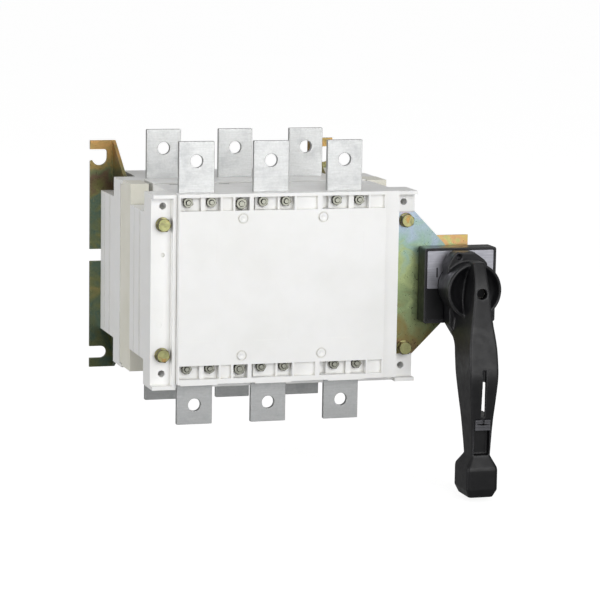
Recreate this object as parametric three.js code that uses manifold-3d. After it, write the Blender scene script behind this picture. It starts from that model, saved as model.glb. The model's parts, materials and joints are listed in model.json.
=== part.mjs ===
// Manual transfer switch: two stacked three-pole switch modules on mounting rails, worked by one handle
// through a side drive. Millimetres, +X right, +Y from the handle side to the mounting wall, +Z up.
// Origin: on the mounting plane, on the back of the left rail beside its middle slot. The dimensions are
// counted from the middle pole, so the whole assembly is moved by DATUM_X at the end.
//
// The handle turns a crankshaft. Its crank pin works in the yoke of the front contact carriage, and a
// rocker reverses that motion for the rear carriage, so that only one module can be closed at a time.

import * as THREE from 'three';
import { mergeVertices } from 'three/addons/utils/BufferGeometryUtils.js';
import Module from 'manifold-3d';

const wasm = await Module();
wasm.setup();

// ---------------------------------------------------------------- driving dimensions
const POLE_PITCH = 65;
const MODULE_PITCH = 115; // front module to rear module
const MODULE_DEPTH = 76.7; // terminal plane to the back of a module
const RAIL_GAUGE = 3; // sheet thickness of the mounting rails
const CLEARANCE = 0.3; // gap between pieces that rest on each other
const HOLE_SIDES = 8; // facets of the small screw holes
const CONTACT_TRAVEL = 14; // carriage travel for a quarter turn of the handle
const DATUM_X = -95.5; // the origin's distance from the middle pole

// Planes that follow from them. A module's own frame has y = 0 at the front of its terminals.
const REAR_Y = -(RAIL_GAUGE + CLEARANCE + MODULE_DEPTH);
const FRONT_Y = REAR_Y - MODULE_PITCH;
const POLES = [-POLE_PITCH, 0, POLE_PITCH];

// Moulded base and cover
const FLANGE = { left: -104, right: 128.7, bottom: -88.5, top: 76.5, depth: 25 };
const BODY = { left: -104, right: 104, bottom: -67, top: 59 };
const MIDDLE = { left: -84, right: 113, bottom: -84, top: FLANGE.top }; // the body's taller middle part
const CAVITY = { left: -88, right: 88, bottom: -57, top: 49, back: MODULE_DEPTH - 3.7, mouth: 4.4 };
const COVER = { left: -83.5, right: 110, bottom: -83.4, top: 77.5, depth: 15, wall: 3 };
const REAR_COVER_DEPTH = MODULE_PITCH - MODULE_DEPTH - 1.8; // up to a narrow gap behind the front module
const HOLLOW = { bottom: -61, top: 57 }; // the cover's inside
const END_BAND = { width: 12, step: 1.2 }; // the cover's right end, a little lower than its front
const BUTTON = { r: 3.5, height: 0.9, x: [-28.5, 41.8], z: [56.7, -59.8] };
const EDGE_LIP = { half: 16, height: 0.9 }; // ribs under the cover, one at each pole
const RIM = { reach: 8, thick: 3 }; // lips round the bare ends of the flange
const POCKET = {
  bottom: 63.3, top: 74.6, lowerBottom: -79.2, lowerTop: -67.5, depth: 7, shelf: 3.2, gap: 12,
};
const BARRIER = { half: 1.25, passage: 5 }; // walls between poles, opened for the carriage beam

// Terminals and their contacts
const TERMINAL = {
  width: 30.8, thick: 4.7, tip: 120.3, corner: 0.6, hole: 103.7, holeR: 5.5, shoulder: 47, end: 30,
};
const TONGUE = { inner: 9.4, outer: 15.4 }; // fixed contact, as distances from the pole's centre line
const BLADE = { width: 6, thick: 4, top: 40, bottom: -44 };
const BLADE_X = (TONGUE.inner + TONGUE.outer) / 2 - CONTACT_TRAVEL; // in its pole, with the switch off
const CLAMP_X = 10; // clamp screws each side of the pole's centre line
const CLAMP_Z = { top: 70.3, bottom: -70.6 };
const CLAMP = { across: 8, head: 3.4, shank: 2.5, stud: 1.9, studEnd: 1, reach: 18 };
const COVER_BOLT = {
  x: -29, top: 68.8, bottom: -71.9, across: 9, head: 3.4, shank: 3, recess: 6.3, depth: POCKET.depth,
};
const SCREW_HOLE_DEPTH = 20;

// Long bolts that hold the stack together
const TIE = {
  left: -94, right: 120, top: 51, bottom: -59.7, across: 10.5, head: 5.4, shank: 4, collarR: 6.2,
  collar: 1.3,
};
const RAIL_SCREW = { x: 94, z: [38, -46], shank: 3, head: 5.6, headDepth: 2.6, length: 16, holeDepth: 14 };
const FIXING = { left: -94, right: 118.7, top: 66.5, bottom: -75.8, r: 3 };

// Drive
const DRIVE_X = 164.6;
const DRIVE_Z = -4.2;
const PLATE_GAUGE = 2.2;
const PLATE = {
  shoulder: 128.3, neck: 155, nose: 158, right: 187, top: 62.3, bottom: -61, neckHalf: 34.6, noseHalf: 31,
};
const DRIVE_FRAME = {
  left: 129.2, right: 196, gauge: 2.2, back: -24, step: -148, floor: -25, roof: 25, rearRoof: 14,
  wallRight: 178, wallTop: 41, wallBottom: -32,
};
const SHAFT_R = 6;
const CRANK = { radius: CONTACT_TRAVEL, pinR: 3, halfWidth: 9, front: -172.5, back: -168.5, pinEnd: -153 };
const BAR = { halfHeight: 8, front: 30, back: 44, post: 5, beyondPin: 8 }; // carriage beam, in a module
const YOKE = { slotHalf: 6.4, tine: 3.5, halfThick: 3 };
const ROCKER_X = 149;
const ROCKER = { halfWidth: 7, thick: 4, slotR: 3.6, slotReach: 2.2, boreR: 4.3, end: 8.5, footR: 7 };
const ROCKER_Z = DRIVE_Z - BAR.halfHeight - CLEARANCE - ROCKER.thick;
const ROCKER_Y = REAR_Y - MODULE_PITCH / 2 + (BAR.front + BAR.back) / 2;

// Handle and its surround
const SURROUND = { half: 32.5, depth: 17.5, rim: 2.2, recess: 1, hubR: 8 };
const HUB = { baseR: 19.5, rimR: 22.5, base: -21, rim: -57 };
const ARM_END = { halfWidth: 13.8, top: -137, bottom: -172.8, front: -87, back: -53 };
const SLOT = { top: -73.5, bottom: -103.5, half: 2, neck: -82, flareLeft: -4, flareRight: 15.5 };
const LOCK = { top: -105.8, bottom: -114.8, halfWidth: 6.6, recessBottom: -136.5, depth: 6 };

// ---------------------------------------------------------------- solids
function solid(geometry) {
  const bare = geometry.index ? geometry.toNonIndexed() : geometry.clone();
  bare.deleteAttribute('normal');
  bare.deleteAttribute('uv');
  const merged = mergeVertices(bare, 1e-4);
  return new wasm.Manifold(new wasm.Mesh({
    numProp: 3,
    vertProperties: new Float32Array(merged.attributes.position.array),
    triVerts: new Uint32Array(merged.index.array),
  }));
}

function geometryOf(manifold) {
  const { vertProperties, triVerts } = manifold.getMesh();
  const geometry = new THREE.BufferGeometry();
  geometry.setAttribute('position', new THREE.BufferAttribute(new Float32Array(vertProperties), 3));
  geometry.setIndex(new THREE.BufferAttribute(new Uint32Array(triVerts), 1));
  const faceted = geometry.toNonIndexed();
  faceted.computeVertexNormals();
  return faceted;
}

function block(x0, x1, y0, y1, z0, z1) {
  const geometry = new THREE.BoxGeometry(x1 - x0, y1 - y0, z1 - z0);
  geometry.translate((x0 + x1) / 2, (y0 + y1) / 2, (z0 + z1) / 2);
  return solid(geometry);
}

const extrude = (shape, depth, curveSegments = 6) =>
  new THREE.ExtrudeGeometry(shape, { depth, bevelEnabled: false, curveSegments });

// A shape drawn in x and z, extruded from y0 to y1.
function plateY(shape, y0, y1, curveSegments) {
  const geometry = extrude(shape, y1 - y0, curveSegments);
  geometry.rotateX(Math.PI / 2);
  geometry.translate(0, y1, 0);
  return solid(geometry);
}

// A shape drawn in y and z, extruded from x0 to x1.
function plateX(shape, x0, x1, curveSegments) {
  const geometry = extrude(shape, x1 - x0, curveSegments);
  const axes = new THREE.Matrix4().makeBasis(
    new THREE.Vector3(0, 1, 0),
    new THREE.Vector3(0, 0, 1),
    new THREE.Vector3(1, 0, 0),
  );
  geometry.applyMatrix4(axes);
  geometry.translate(x0, 0, 0);
  return solid(geometry);
}

// A shape drawn in x and y, extruded from z0 to z1.
function plateZ(shape, z0, z1, curveSegments) {
  const geometry = extrude(shape, z1 - z0, curveSegments);
  geometry.translate(0, 0, z0);
  return solid(geometry);
}

const outline = (points) => new THREE.Shape(points.map(([u, v]) => new THREE.Vector2(u, v)));

function roundedRect(x0, x1, z0, z1, r) {
  const shape = new THREE.Shape();
  shape.moveTo(x0 + r, z0);
  shape.lineTo(x1 - r, z0);
  shape.absarc(x1 - r, z0 + r, r, -Math.PI / 2, 0);
  shape.lineTo(x1, z1 - r);
  shape.absarc(x1 - r, z1 - r, r, 0, Math.PI / 2);
  shape.lineTo(x0 + r, z1);
  shape.absarc(x0 + r, z1 - r, r, Math.PI / 2, Math.PI);
  shape.lineTo(x0, z0 + r);
  shape.absarc(x0 + r, z0 + r, r, Math.PI, 1.5 * Math.PI);
  return shape;
}

// A round bar along y, from y0 to y1, its axis at (x, z).
function rodY(x, z, r, y0, y1, sides = 20) {
  const geometry = new THREE.CylinderGeometry(r, r, y1 - y0, sides);
  geometry.translate(x, (y0 + y1) / 2, z);
  return solid(geometry);
}

// A hexagonal bar along y; across is its width across flats.
const hexY = (x, z, across, y0, y1) => rodY(x, z, across / Math.sqrt(3), y0, y1, 6);

function rodZ(x, y, r, z0, z1, sides = 20) {
  const geometry = new THREE.CylinderGeometry(r, r, z1 - z0, sides);
  geometry.rotateX(Math.PI / 2);
  geometry.translate(x, y, (z0 + z1) / 2);
  return solid(geometry);
}

// Joins cross-sections, each a closed ring of the same number of points, into one closed solid.
function loft(rings) {
  const count = rings[0].length;
  const positions = rings.flat(2);
  const index = [];
  for (let ring = 0; ring < rings.length - 1; ring += 1) {
    for (let i = 0; i < count; i += 1) {
      const a = ring * count + i;
      const b = ring * count + ((i + 1) % count);
      index.push(a, a + count, b, b, a + count, b + count);
    }
  }
  const last = (rings.length - 1) * count;
  for (let i = 1; i < count - 1; i += 1) {
    index.push(0, i, i + 1);
    index.push(last, last + i + 1, last + i);
  }
  const geometry = new THREE.BufferGeometry();
  geometry.setAttribute('position', new THREE.Float32BufferAttribute(positions, 3));
  geometry.setIndex(index);
  return solid(geometry);
}

const cut = (body, tools) => tools.reduce((left, tool) => left.subtract(tool), body);
const join = (pieces) => pieces.reduce((whole, piece) => whole.add(piece));

// ---------------------------------------------------------------- the assembly
const LOOKS = {
  white: { color: 0xeceae6, roughness: 0.5, metalness: 0 },
  cream: { color: 0xe4e2d4, roughness: 0.55, metalness: 0 },
  tin: { color: 0xc9c8c6, roughness: 0.35, metalness: 1 },
  copper: { color: 0xb87350, roughness: 0.35, metalness: 1 },
  zinc: { color: 0x9b9a62, roughness: 0.35, metalness: 1 },
  steel: { color: 0x8d8f86, roughness: 0.35, metalness: 1 },
  black: { color: 0x232325, roughness: 0.4, metalness: 0 },
  grey: { color: 0x5b5d60, roughness: 0.5, metalness: 0 },
  label: { color: 0xb9bcbe, roughness: 0.35, metalness: 0.6 },
  phenolic: { color: 0x3b2b22, roughness: 0.6, metalness: 0 },
};

function part(parent, name, manifold, look, [x, y, z] = [0, 0, 0]) {
  const mesh = new THREE.Mesh(geometryOf(manifold), new THREE.MeshStandardMaterial(LOOKS[look]));
  mesh.name = name;
  mesh.position.set(x, y, z);
  parent.add(mesh);
}

const ENDS = [
  { word: 'top', up: 1, clampZ: CLAMP_Z.top },
  { word: 'bottom', up: -1, clampZ: CLAMP_Z.bottom },
];

// ---------------------------------------------------------------- one switch module
// Base: a deep tray with a wide flange, slots for the terminals and a wall between poles. The rear base
// has grooves in which the right rail's gussets stand.
function moduleBase(besideRails) {
  const face = CLEARANCE;
  const slotHalf = TERMINAL.width / 2 + CLEARANCE;
  const barZ0 = DRIVE_Z - BAR.halfHeight;
  const barZ1 = DRIVE_Z + BAR.halfHeight;
  const shell = join([
    block(FLANGE.left, FLANGE.right, face, FLANGE.depth, FLANGE.bottom, FLANGE.top),
    block(BODY.left, BODY.right, FLANGE.depth - 1, MODULE_DEPTH, BODY.bottom, BODY.top),
    block(MIDDLE.left, MIDDLE.right, FLANGE.depth - 1, MODULE_DEPTH, MIDDLE.bottom, MIDDLE.top),
  ]);
  const rims = [];
  for (const [x0, x1] of [[FLANGE.left, COVER.left - CLEARANCE], [COVER.right + 1, FLANGE.right]]) {
    rims.push(block(x0, x1, -RIM.reach, 1, FLANGE.top - RIM.thick, FLANGE.top));
    rims.push(block(x0, x1, -RIM.reach, 1, FLANGE.bottom, FLANGE.bottom + RIM.thick));
  }
  const borderEnd = COVER.left - CLEARANCE;
  rims.push(block(borderEnd - RIM.thick, borderEnd, -RIM.reach, 1, FLANGE.bottom, FLANGE.top));

  // The cavity's mouth is kept behind the cover.
  const mouthLeft = COVER.left - CLEARANCE;
  const cuts = [
    block(mouthLeft, CAVITY.right, -1, CAVITY.mouth + 1, CAVITY.bottom, CAVITY.top),
    block(CAVITY.left, CAVITY.right, CAVITY.mouth, CAVITY.back, CAVITY.bottom, CAVITY.top),
    block(CAVITY.right - 1, MIDDLE.right + 1, BAR.front - 1, BAR.back + 1, barZ0 - 1, barZ1 + 1),
  ];
  if (besideRails) {
    const grooveLeft = RAIL.fold - RAIL_GAUGE - CLEARANCE;
    const grooveRight = RAIL.fold + CLEARANCE;
    const y0 = FLANGE.depth;
    const y1 = MODULE_DEPTH + 1;
    cuts.push(block(grooveLeft, grooveRight, y0, y1, BODY.top, MIDDLE.top + 1));
    cuts.push(block(grooveLeft, grooveRight, y0, y1, MIDDLE.bottom - 1, BODY.bottom));
  }
  for (const pole of POLES) {
    for (const { up, clampZ } of ENDS) {
      const inner = Math.min(up * TERMINAL.shoulder, up * TERMINAL.tip);
      const outer = Math.max(up * TERMINAL.shoulder, up * TERMINAL.tip);
      cuts.push(block(pole - slotHalf, pole + slotHalf, -1, TERMINAL.thick + CLEARANCE, inner, outer));
      for (const side of [-1, 1]) {
        const x = pole + side * CLAMP_X;
        cuts.push(rodY(x, clampZ, CLAMP.shank + CLEARANCE, 0, SCREW_HOLE_DEPTH, HOLE_SIDES));
      }
    }
  }
  for (const z of [COVER_BOLT.top, COVER_BOLT.bottom]) {
    cuts.push(rodY(COVER_BOLT.x, z, COVER_BOLT.shank + CLEARANCE, 0, SCREW_HOLE_DEPTH, 12));
  }
  for (const x of [TIE.left, TIE.right]) {
    for (const z of [TIE.top, TIE.bottom]) {
      cuts.push(rodY(x, z, TIE.shank + CLEARANCE, -1, MODULE_DEPTH + 1, 12));
    }
  }
  for (const x of [FIXING.left, FIXING.right]) {
    for (const z of [FIXING.top, FIXING.bottom]) {
      cuts.push(rodY(x, z, FIXING.r, -1, FLANGE.depth + 1, 12));
    }
  }
  for (const x of [-RAIL_SCREW.x, RAIL_SCREW.x]) {
    for (const z of RAIL_SCREW.z) {
      const end = MODULE_DEPTH - RAIL_SCREW.holeDepth;
      cuts.push(rodY(x, z, RAIL_SCREW.shank + CLEARANCE, end, MODULE_DEPTH + 1, HOLE_SIDES));
    }
  }
  const { back, bottom, top } = CAVITY;
  const { half, passage } = BARRIER;
  const walls = [-POLE_PITCH / 2, POLE_PITCH / 2].map((x) => cut(
    block(x - half, x + half, 2 * TERMINAL.thick, back + 1, bottom - 1, top + 1),
    [block(x - passage, x + passage, BAR.front - 1, BAR.back + 1, barZ0 - 1, barZ1 + 1)],
  ));
  return join([cut(join([shell, ...rims]), cuts), ...walls]);
}

// Rear cover: a plain deep box, hollow behind, that fills the room behind the front module.
function rearCover() {
  const { left, right, bottom, top, wall } = COVER;
  const front = -REAR_COVER_DEPTH;
  return cut(block(left, right, front, -CLEARANCE, bottom, top), [
    block(left + wall, right - wall, front + wall, 1, HOLLOW.bottom, HOLLOW.top),
  ]);
}

// Front cover: a shallow box, hollow behind, with a row of pockets at each edge for the clamp screws.
function frontCover() {
  const front = -COVER.depth;
  const back = -CLEARANCE;
  const floor = front + POCKET.depth;
  const shelf = front + POCKET.shelf;
  const deepGap = front + POCKET.gap;
  const boltLeft = COVER_BOLT.x - COVER_BOLT.recess;
  const boltRight = COVER_BOLT.x + COVER_BOLT.recess;
  const endBand = COVER.right - END_BAND.width;
  // The pockets run in behind the front skin as far as the screw heads' corners.
  const headRoom = (x, z, across) => {
    const reach = across / Math.sqrt(3) + CLEARANCE;
    return block(x - 3, x + 3, front + COVER.wall - 0.1, floor, z - reach, z + reach);
  };
  const lipBack = front + 4;
  const outer = block(COVER.left, COVER.right, front, back, COVER.bottom, COVER.top);
  const cuts = [
    block(
      COVER.left + COVER.wall, COVER.right - COVER.wall, front + COVER.wall, 1, HOLLOW.bottom, HOLLOW.top,
    ),
    block(endBand, COVER.right + 1, front - 1, front + END_BAND.step, COVER.bottom - 1, COVER.top + 1),
  ];
  // Each row of pockets is three groups, given as [start, end, depth plane] cells along x.
  const cells = [
    [-82.4, -64.2, floor], [-64.2, -60.3, shelf], [-60.3, -47.8, floor], [-46.1, -37, shelf],
    [boltLeft, boltRight, floor],
    [-19.3, -16, deepGap], [-16, 2.7, floor], [2.7, 4.4, shelf], [4.4, 16.7, floor], [18.4, 37, shelf],
    [40.9, 48.5, deepGap], [48.5, 65.3, floor], [65.3, 69.8, shelf], [69.8, 82.3, floor], [84, 96.6, shelf],
  ];
  for (const [x0, x1, depth] of cells) {
    cuts.push(block(x0, x1, front - 1, depth, POCKET.bottom, POCKET.top));
    cuts.push(block(x0, x1, front - 1, depth, POCKET.lowerBottom, POCKET.lowerTop));
  }
  for (const pole of POLES) {
    for (const { clampZ } of ENDS) {
      for (const side of [-1, 1]) {
        const x = pole + side * CLAMP_X;
        cuts.push(rodY(x, clampZ, CLAMP.shank + CLEARANCE, floor - 2, 1, HOLE_SIDES));
        cuts.push(headRoom(x, clampZ, CLAMP.across));
      }
    }
  }
  for (const z of [COVER_BOLT.top, COVER_BOLT.bottom]) {
    cuts.push(rodY(COVER_BOLT.x, z, COVER_BOLT.shank + CLEARANCE, front, 1, 12));
    cuts.push(headRoom(COVER_BOLT.x, z, COVER_BOLT.across));
  }
  const extras = [];
  for (const x of BUTTON.x) {
    for (const z of BUTTON.z) {
      extras.push(rodY(x, z, BUTTON.r, front - BUTTON.height, front + 1, 12));
    }
  }
  for (const pole of POLES) {
    const [x0, x1] = [pole - EDGE_LIP.half, pole + EDGE_LIP.half];
    extras.push(block(x0, x1, front, lipBack, COVER.bottom - EDGE_LIP.height, COVER.bottom + 1));
  }
  return join([cut(outer, cuts), ...extras]);
}

// Terminal: a flat bar with a bolt hole outside, narrowed inside to the tongue that is the fixed contact.
function terminal(up, clampZ) {
  const half = TERMINAL.width / 2;
  const r = TERMINAL.corner;
  const shape = new THREE.Shape();
  shape.moveTo(-half, up * TERMINAL.shoulder);
  shape.lineTo(-half, up * (TERMINAL.tip - r));
  shape.quadraticCurveTo(-half, up * TERMINAL.tip, -half + r, up * TERMINAL.tip);
  shape.lineTo(half - r, up * TERMINAL.tip);
  shape.quadraticCurveTo(half, up * TERMINAL.tip, half, up * (TERMINAL.tip - r));
  shape.lineTo(half, up * TERMINAL.shoulder);
  shape.lineTo(TONGUE.outer, up * TERMINAL.shoulder);
  shape.lineTo(TONGUE.outer, up * TERMINAL.end);
  shape.lineTo(TONGUE.inner, up * TERMINAL.end);
  shape.lineTo(TONGUE.inner, up * TERMINAL.shoulder);
  return cut(plateY(shape, 0, TERMINAL.thick, 3), [
    rodY(0, up * TERMINAL.hole, TERMINAL.holeR, -1, TERMINAL.thick + 1, 20),
    rodY(-CLAMP_X, clampZ, CLAMP.shank + CLEARANCE, -1, TERMINAL.thick + 1, HOLE_SIDES),
    rodY(CLAMP_X, clampZ, CLAMP.shank + CLEARANCE, -1, TERMINAL.thick + 1, HOLE_SIDES),
  ]);
}

// Carriage: an insulating beam with one post per pole, its end reaching out into the drive frame. A pin
// under the end works in the rocker; the front carriage also has an upright yoke for the crank pin.
function carriage(withYoke) {
  const z0 = DRIVE_Z - BAR.halfHeight;
  const z1 = DRIVE_Z + BAR.halfHeight;
  const postFront = TERMINAL.thick + 3 * CLEARANCE + BLADE.thick;
  const left = POLES[0] + BLADE_X - BAR.post - 1;
  const pieces = [block(left, ROCKER_X + BAR.beyondPin, BAR.front, BAR.back, z0, z1)];
  for (const pole of POLES) {
    const x = pole + BLADE_X;
    pieces.push(block(x - BAR.post, x + BAR.post, postFront, BAR.front + 1, z0, z1));
  }
  const middle = (BAR.front + BAR.back) / 2;
  const pinEnd = ROCKER_Z - 2;
  pieces.push(rodZ(ROCKER_X, middle, CRANK.pinR, pinEnd, z0 + 1, 16));
  if (withYoke) {
    const { slotHalf, tine, halfThick } = YOKE;
    const top = DRIVE_Z + CRANK.radius + CRANK.pinR + 1;
    const x0 = DRIVE_X - slotHalf - tine;
    const x1 = DRIVE_X + slotHalf + tine;
    const y0 = middle - halfThick;
    const y1 = middle + halfThick;
    pieces.push(cut(block(x0, x1, y0, y1, z0, top + tine), [
      block(x0 + tine, x1 - tine, y0 - 1, y1 + 1, z0 + tine, top),
    ]));
  }
  return join(pieces);
}

function blade() {
  const y0 = TERMINAL.thick + CLEARANCE;
  return block(-BLADE.width / 2, BLADE.width / 2, y0, y0 + BLADE.thick, BLADE.bottom, BLADE.top);
}

// Clamp screw: hexagon head with a stud end showing in its middle, shank through cover and terminal.
function clampScrew() {
  const seat = -COVER.depth + POCKET.depth - CLEARANCE;
  return join([
    hexY(0, 0, CLAMP.across, seat - CLAMP.head, seat),
    rodY(0, 0, CLAMP.stud, seat - CLAMP.head - CLAMP.studEnd, seat - 1, HOLE_SIDES),
    rodY(0, 0, CLAMP.shank, seat - 1, CLAMP.reach, HOLE_SIDES),
  ]);
}

function coverBolt() {
  const seat = -COVER.depth + COVER_BOLT.depth - CLEARANCE;
  const { across, head, shank } = COVER_BOLT;
  return join([
    hexY(0, 0, across, seat - head, seat),
    rodY(0, 0, shank - 2 * CLEARANCE, seat - head - 2 * CLEARANCE, seat - 1, 12),
    rodY(0, 0, shank, seat - 1, CLAMP.reach, 12),
  ]);
}

function addModule(parent, word, y) {
  const module = new THREE.Group();
  module.position.set(0, y, 0);
  parent.add(module);
  const isFront = word === 'front';
  part(module, `${word}_module_base`, moduleBase(!isFront), 'white');
  part(module, `${word}_module_cover`, isFront ? frontCover() : rearCover(), 'white');
  part(module, `${word}_contact_carriage`, carriage(isFront), 'phenolic');
  POLES.forEach((pole, i) => {
    part(module, `${word}_moving_contact_${i + 1}`, blade(), 'copper', [pole + BLADE_X, 0, 0]);
    for (const { word: end, up, clampZ } of ENDS) {
      part(module, `${word}_${end}_terminal_${i + 1}`, terminal(up, clampZ), 'tin', [pole, 0, 0]);
    }
  });
  return module;
}

// ---------------------------------------------------------------- stack: rails, spacers, long bolts
// Rail: a flat foot with open-ended slots, folded forward at its inner edge above and below the module.
const RAIL = { outer: 114, fold: 93.7, inner: 84, top: 104, bottom: -102.6, slotEnd: 98.5, slotHalf: 5.5 };

function railOutline() {
  const { outer, fold, inner, top, bottom, slotEnd, slotHalf } = RAIL;
  const foldInner = fold - RAIL_GAUGE;
  const seatTop = 96; // the upper slot is a hook: a round seat, entered from the side above it
  const seatR = 7;
  const seatX = slotEnd + seatR;
  const seatZ = 88.5;
  const lipAngle = -0.35;
  const shape = new THREE.Shape();
  shape.moveTo(inner, BODY.bottom - 1);
  shape.lineTo(foldInner, BODY.bottom - 1);
  shape.lineTo(foldInner, bottom);
  shape.lineTo(outer, bottom);
  for (const z of [-89, 0]) {
    shape.lineTo(outer, z - slotHalf);
    shape.absarc(slotEnd + slotHalf, z, slotHalf, -Math.PI / 2, Math.PI / 2, true);
    shape.lineTo(outer, z + slotHalf);
  }
  shape.lineTo(outer, seatZ - 3);
  shape.absarc(seatX, seatZ, seatR, lipAngle, -Math.PI, true);
  shape.lineTo(slotEnd, seatTop - 3);
  shape.quadraticCurveTo(slotEnd, seatTop, slotEnd + 3, seatTop);
  shape.lineTo(outer, seatTop);
  shape.lineTo(outer, top);
  shape.lineTo(foldInner, top);
  shape.lineTo(foldInner, BODY.top + 1);
  shape.lineTo(inner, BODY.top + 1);
  return shape;
}

function mountingRail(side) {
  const { fold, top, bottom } = RAIL;
  const segments = 6;
  const foot = new THREE.Shape(railOutline().getPoints(segments).map((p) => p.set(side * p.x, p.y)));
  const cuts = [];
  for (const z of RAIL_SCREW.z) {
    const x = side * RAIL_SCREW.x;
    cuts.push(rodY(x, z, RAIL_SCREW.shank + 2 * CLEARANCE, -RAIL_GAUGE - 1, 1, HOLE_SIDES));
    cuts.push(countersink(x, z, CLEARANCE, 0.5));
  }
  // Gussets folded forward from the foot, reaching the back of the rear module's flange.
  const root = -RAIL_GAUGE / 2;
  const tip = FLANGE.depth - MODULE_DEPTH - RAIL_GAUGE;
  const slope = -45;
  const x0 = side > 0 ? fold - RAIL_GAUGE + 0.2 : -fold;
  const gusset = (points) => plateX(outline(points), x0, x0 + RAIL_GAUGE - 0.2);
  const upper = [
    [root, BODY.top + 1.5], [root, top - 0.5], [root - 3, top - 0.5], [slope, 78], [tip, 74],
    [tip, BODY.top + 1.5],
  ];
  const lower = [
    [root, BODY.bottom - 1.5], [tip, BODY.bottom - 1.5], [tip, -73], [slope, -77], [root - 3, bottom + 0.5],
    [root, bottom + 0.5],
  ];
  return join([cut(plateY(foot, -RAIL_GAUGE, 0), cuts), gusset(upper), gusset(lower)]);
}

// A 45-degree countersink whose wide end is at y = proud, grown all round by the given gap.
function countersink(x, z, gap, proud) {
  const { head, shank, headDepth } = RAIL_SCREW;
  const geometry = new THREE.CylinderGeometry(head + gap + proud, shank + gap, headDepth + proud, 16);
  geometry.translate(x, (proud - headDepth) / 2, z);
  return solid(geometry);
}

const railScrew = () => join([
  countersink(0, 0, 0, 0),
  rodY(0, 0, RAIL_SCREW.shank, -RAIL_SCREW.length, -1, HOLE_SIDES),
]);

function spacer(x0, x1) {
  const y0 = FRONT_Y + MODULE_DEPTH + CLEARANCE;
  const y1 = REAR_Y;
  const x = x0 < 0 ? TIE.left : TIE.right;
  const rimRoom = RIM.reach + CLEARANCE;
  const top = FLANGE.top + 0.5;
  const bottom = FLANGE.bottom + 1.5;
  return cut(block(x0, x1, y0, y1, bottom, top), [
    block(x0 - 1, x1 + 1, y1 - rimRoom, y1 + 1, FLANGE.top - RIM.thick - CLEARANCE, top + 1),
    block(x0 - 1, x1 + 1, y1 - rimRoom, y1 + 1, bottom - 1, FLANGE.bottom + RIM.thick + CLEARANCE),
    rodY(x, TIE.top, TIE.shank + CLEARANCE, y0 - 1, y1 + 1, 12),
    rodY(x, TIE.bottom, TIE.shank + CLEARANCE, y0 - 1, y1 + 1, 12),
  ]);
}

// Long bolt through the front module and the spacer into the rear module; y = 0 is the head's seat.
function tieBolt(length) {
  const { collar, collarR } = TIE;
  return join([
    rodY(0, 0, collarR, -collar, 0, 16),
    hexY(0, 0, TIE.across, -TIE.head - collar, -collar / 2),
    rodY(0, 0, TIE.shank, -0.5, length, 12),
  ]);
}

// ---------------------------------------------------------------- drive
function mechanismPlate() {
  const { shoulder, neck, nose, right, top, bottom, neckHalf, noseHalf } = PLATE;
  const left = COVER.right + 1;
  const shape = outline([
    [left, top], [shoulder, top], [neck, neckHalf], [nose, noseHalf], [right, noseHalf],
    [right, -noseHalf], [nose, -noseHalf], [neck, -neckHalf], [shoulder, bottom], [left, bottom],
  ].map(([x, z]) => [x, DRIVE_Z + z]));
  const hole = (x, z, r) => rodY(x, z, r, FRONT_Y - 2 * PLATE_GAUGE, FRONT_Y + PLATE_GAUGE, 16);
  return cut(plateY(shape, FRONT_Y - PLATE_GAUGE, FRONT_Y, 3), [
    hole(TIE.right, TIE.top, TIE.shank + CLEARANCE),
    hole(TIE.right, TIE.bottom, TIE.shank + CLEARANCE),
    hole(DRIVE_X, DRIVE_Z, SHAFT_R + 2),
  ]);
}

// Drive frame: a folded box, open on the module side, taller round the crank than behind it, and with a
// taller front wall.
function driveFrame() {
  const { left, right, gauge, back, step, floor, roof, rearRoof } = DRIVE_FRAME;
  const { wallRight, wallTop, wallBottom } = DRIVE_FRAME;
  const front = FRONT_Y + CLEARANCE;
  const z = (height) => DRIVE_Z + height;
  return cut(join([
    block(left, right, front, step, z(floor), z(roof)),
    block(left, right, step - 1, back, z(floor), z(rearRoof)),
    block(left, wallRight, front, front + gauge, z(wallBottom), z(wallTop)),
  ]), [
    block(left - 1, right - gauge, front + gauge, step - gauge, z(floor + gauge), z(roof - gauge)),
    block(left - 1, right - gauge, step - gauge - 1, back - gauge, z(floor + gauge), z(rearRoof - gauge)),
    rodY(DRIVE_X, DRIVE_Z, SHAFT_R + CLEARANCE, front - 1, front + gauge + 1, 24),
  ]);
}

// Crankshaft: a round shaft from the handle's hub, with a crank arm and pin at its inner end.
function crankshaft() {
  const handleEnd = FRONT_Y - 48;
  const { halfWidth } = CRANK;
  const arm = roundedRect(-halfWidth, halfWidth, -halfWidth, CRANK.radius + CRANK.pinR + 3, halfWidth - 0.1);
  return join([
    rodY(0, 0, SHAFT_R, handleEnd, CRANK.back, 24),
    plateY(arm, CRANK.front, CRANK.back, 6),
    rodY(0, CRANK.radius, CRANK.pinR, CRANK.back - 1, CRANK.pinEnd, 16),
  ]);
}

// Rocker: a lever on a vertical pin between the two carriages, slotted at both ends; drawn about its pin.
function rocker() {
  const { halfWidth, thick, slotR, slotReach, boreR, end } = ROCKER;
  const pinAt = MODULE_PITCH / 2; // distance from the rocker's axis to each carriage's pin
  const shape = roundedRect(-halfWidth, halfWidth, -pinAt - end, pinAt + end, halfWidth - 0.1);
  const hole = (y, r) => rodZ(0, y, r, -1, thick + 1, 20);
  const cuts = [hole(0, boreR)];
  for (const side of [-1, 1]) {
    const inner = side * (pinAt - CLEARANCE);
    const outer = side * (pinAt + slotReach);
    cuts.push(hole(inner, slotR), hole(outer, slotR));
    cuts.push(block(-slotR, slotR, Math.min(inner, outer), Math.max(inner, outer), -1, thick + 1));
  }
  return cut(plateZ(shape, 0, thick, 6), cuts);
}

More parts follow.
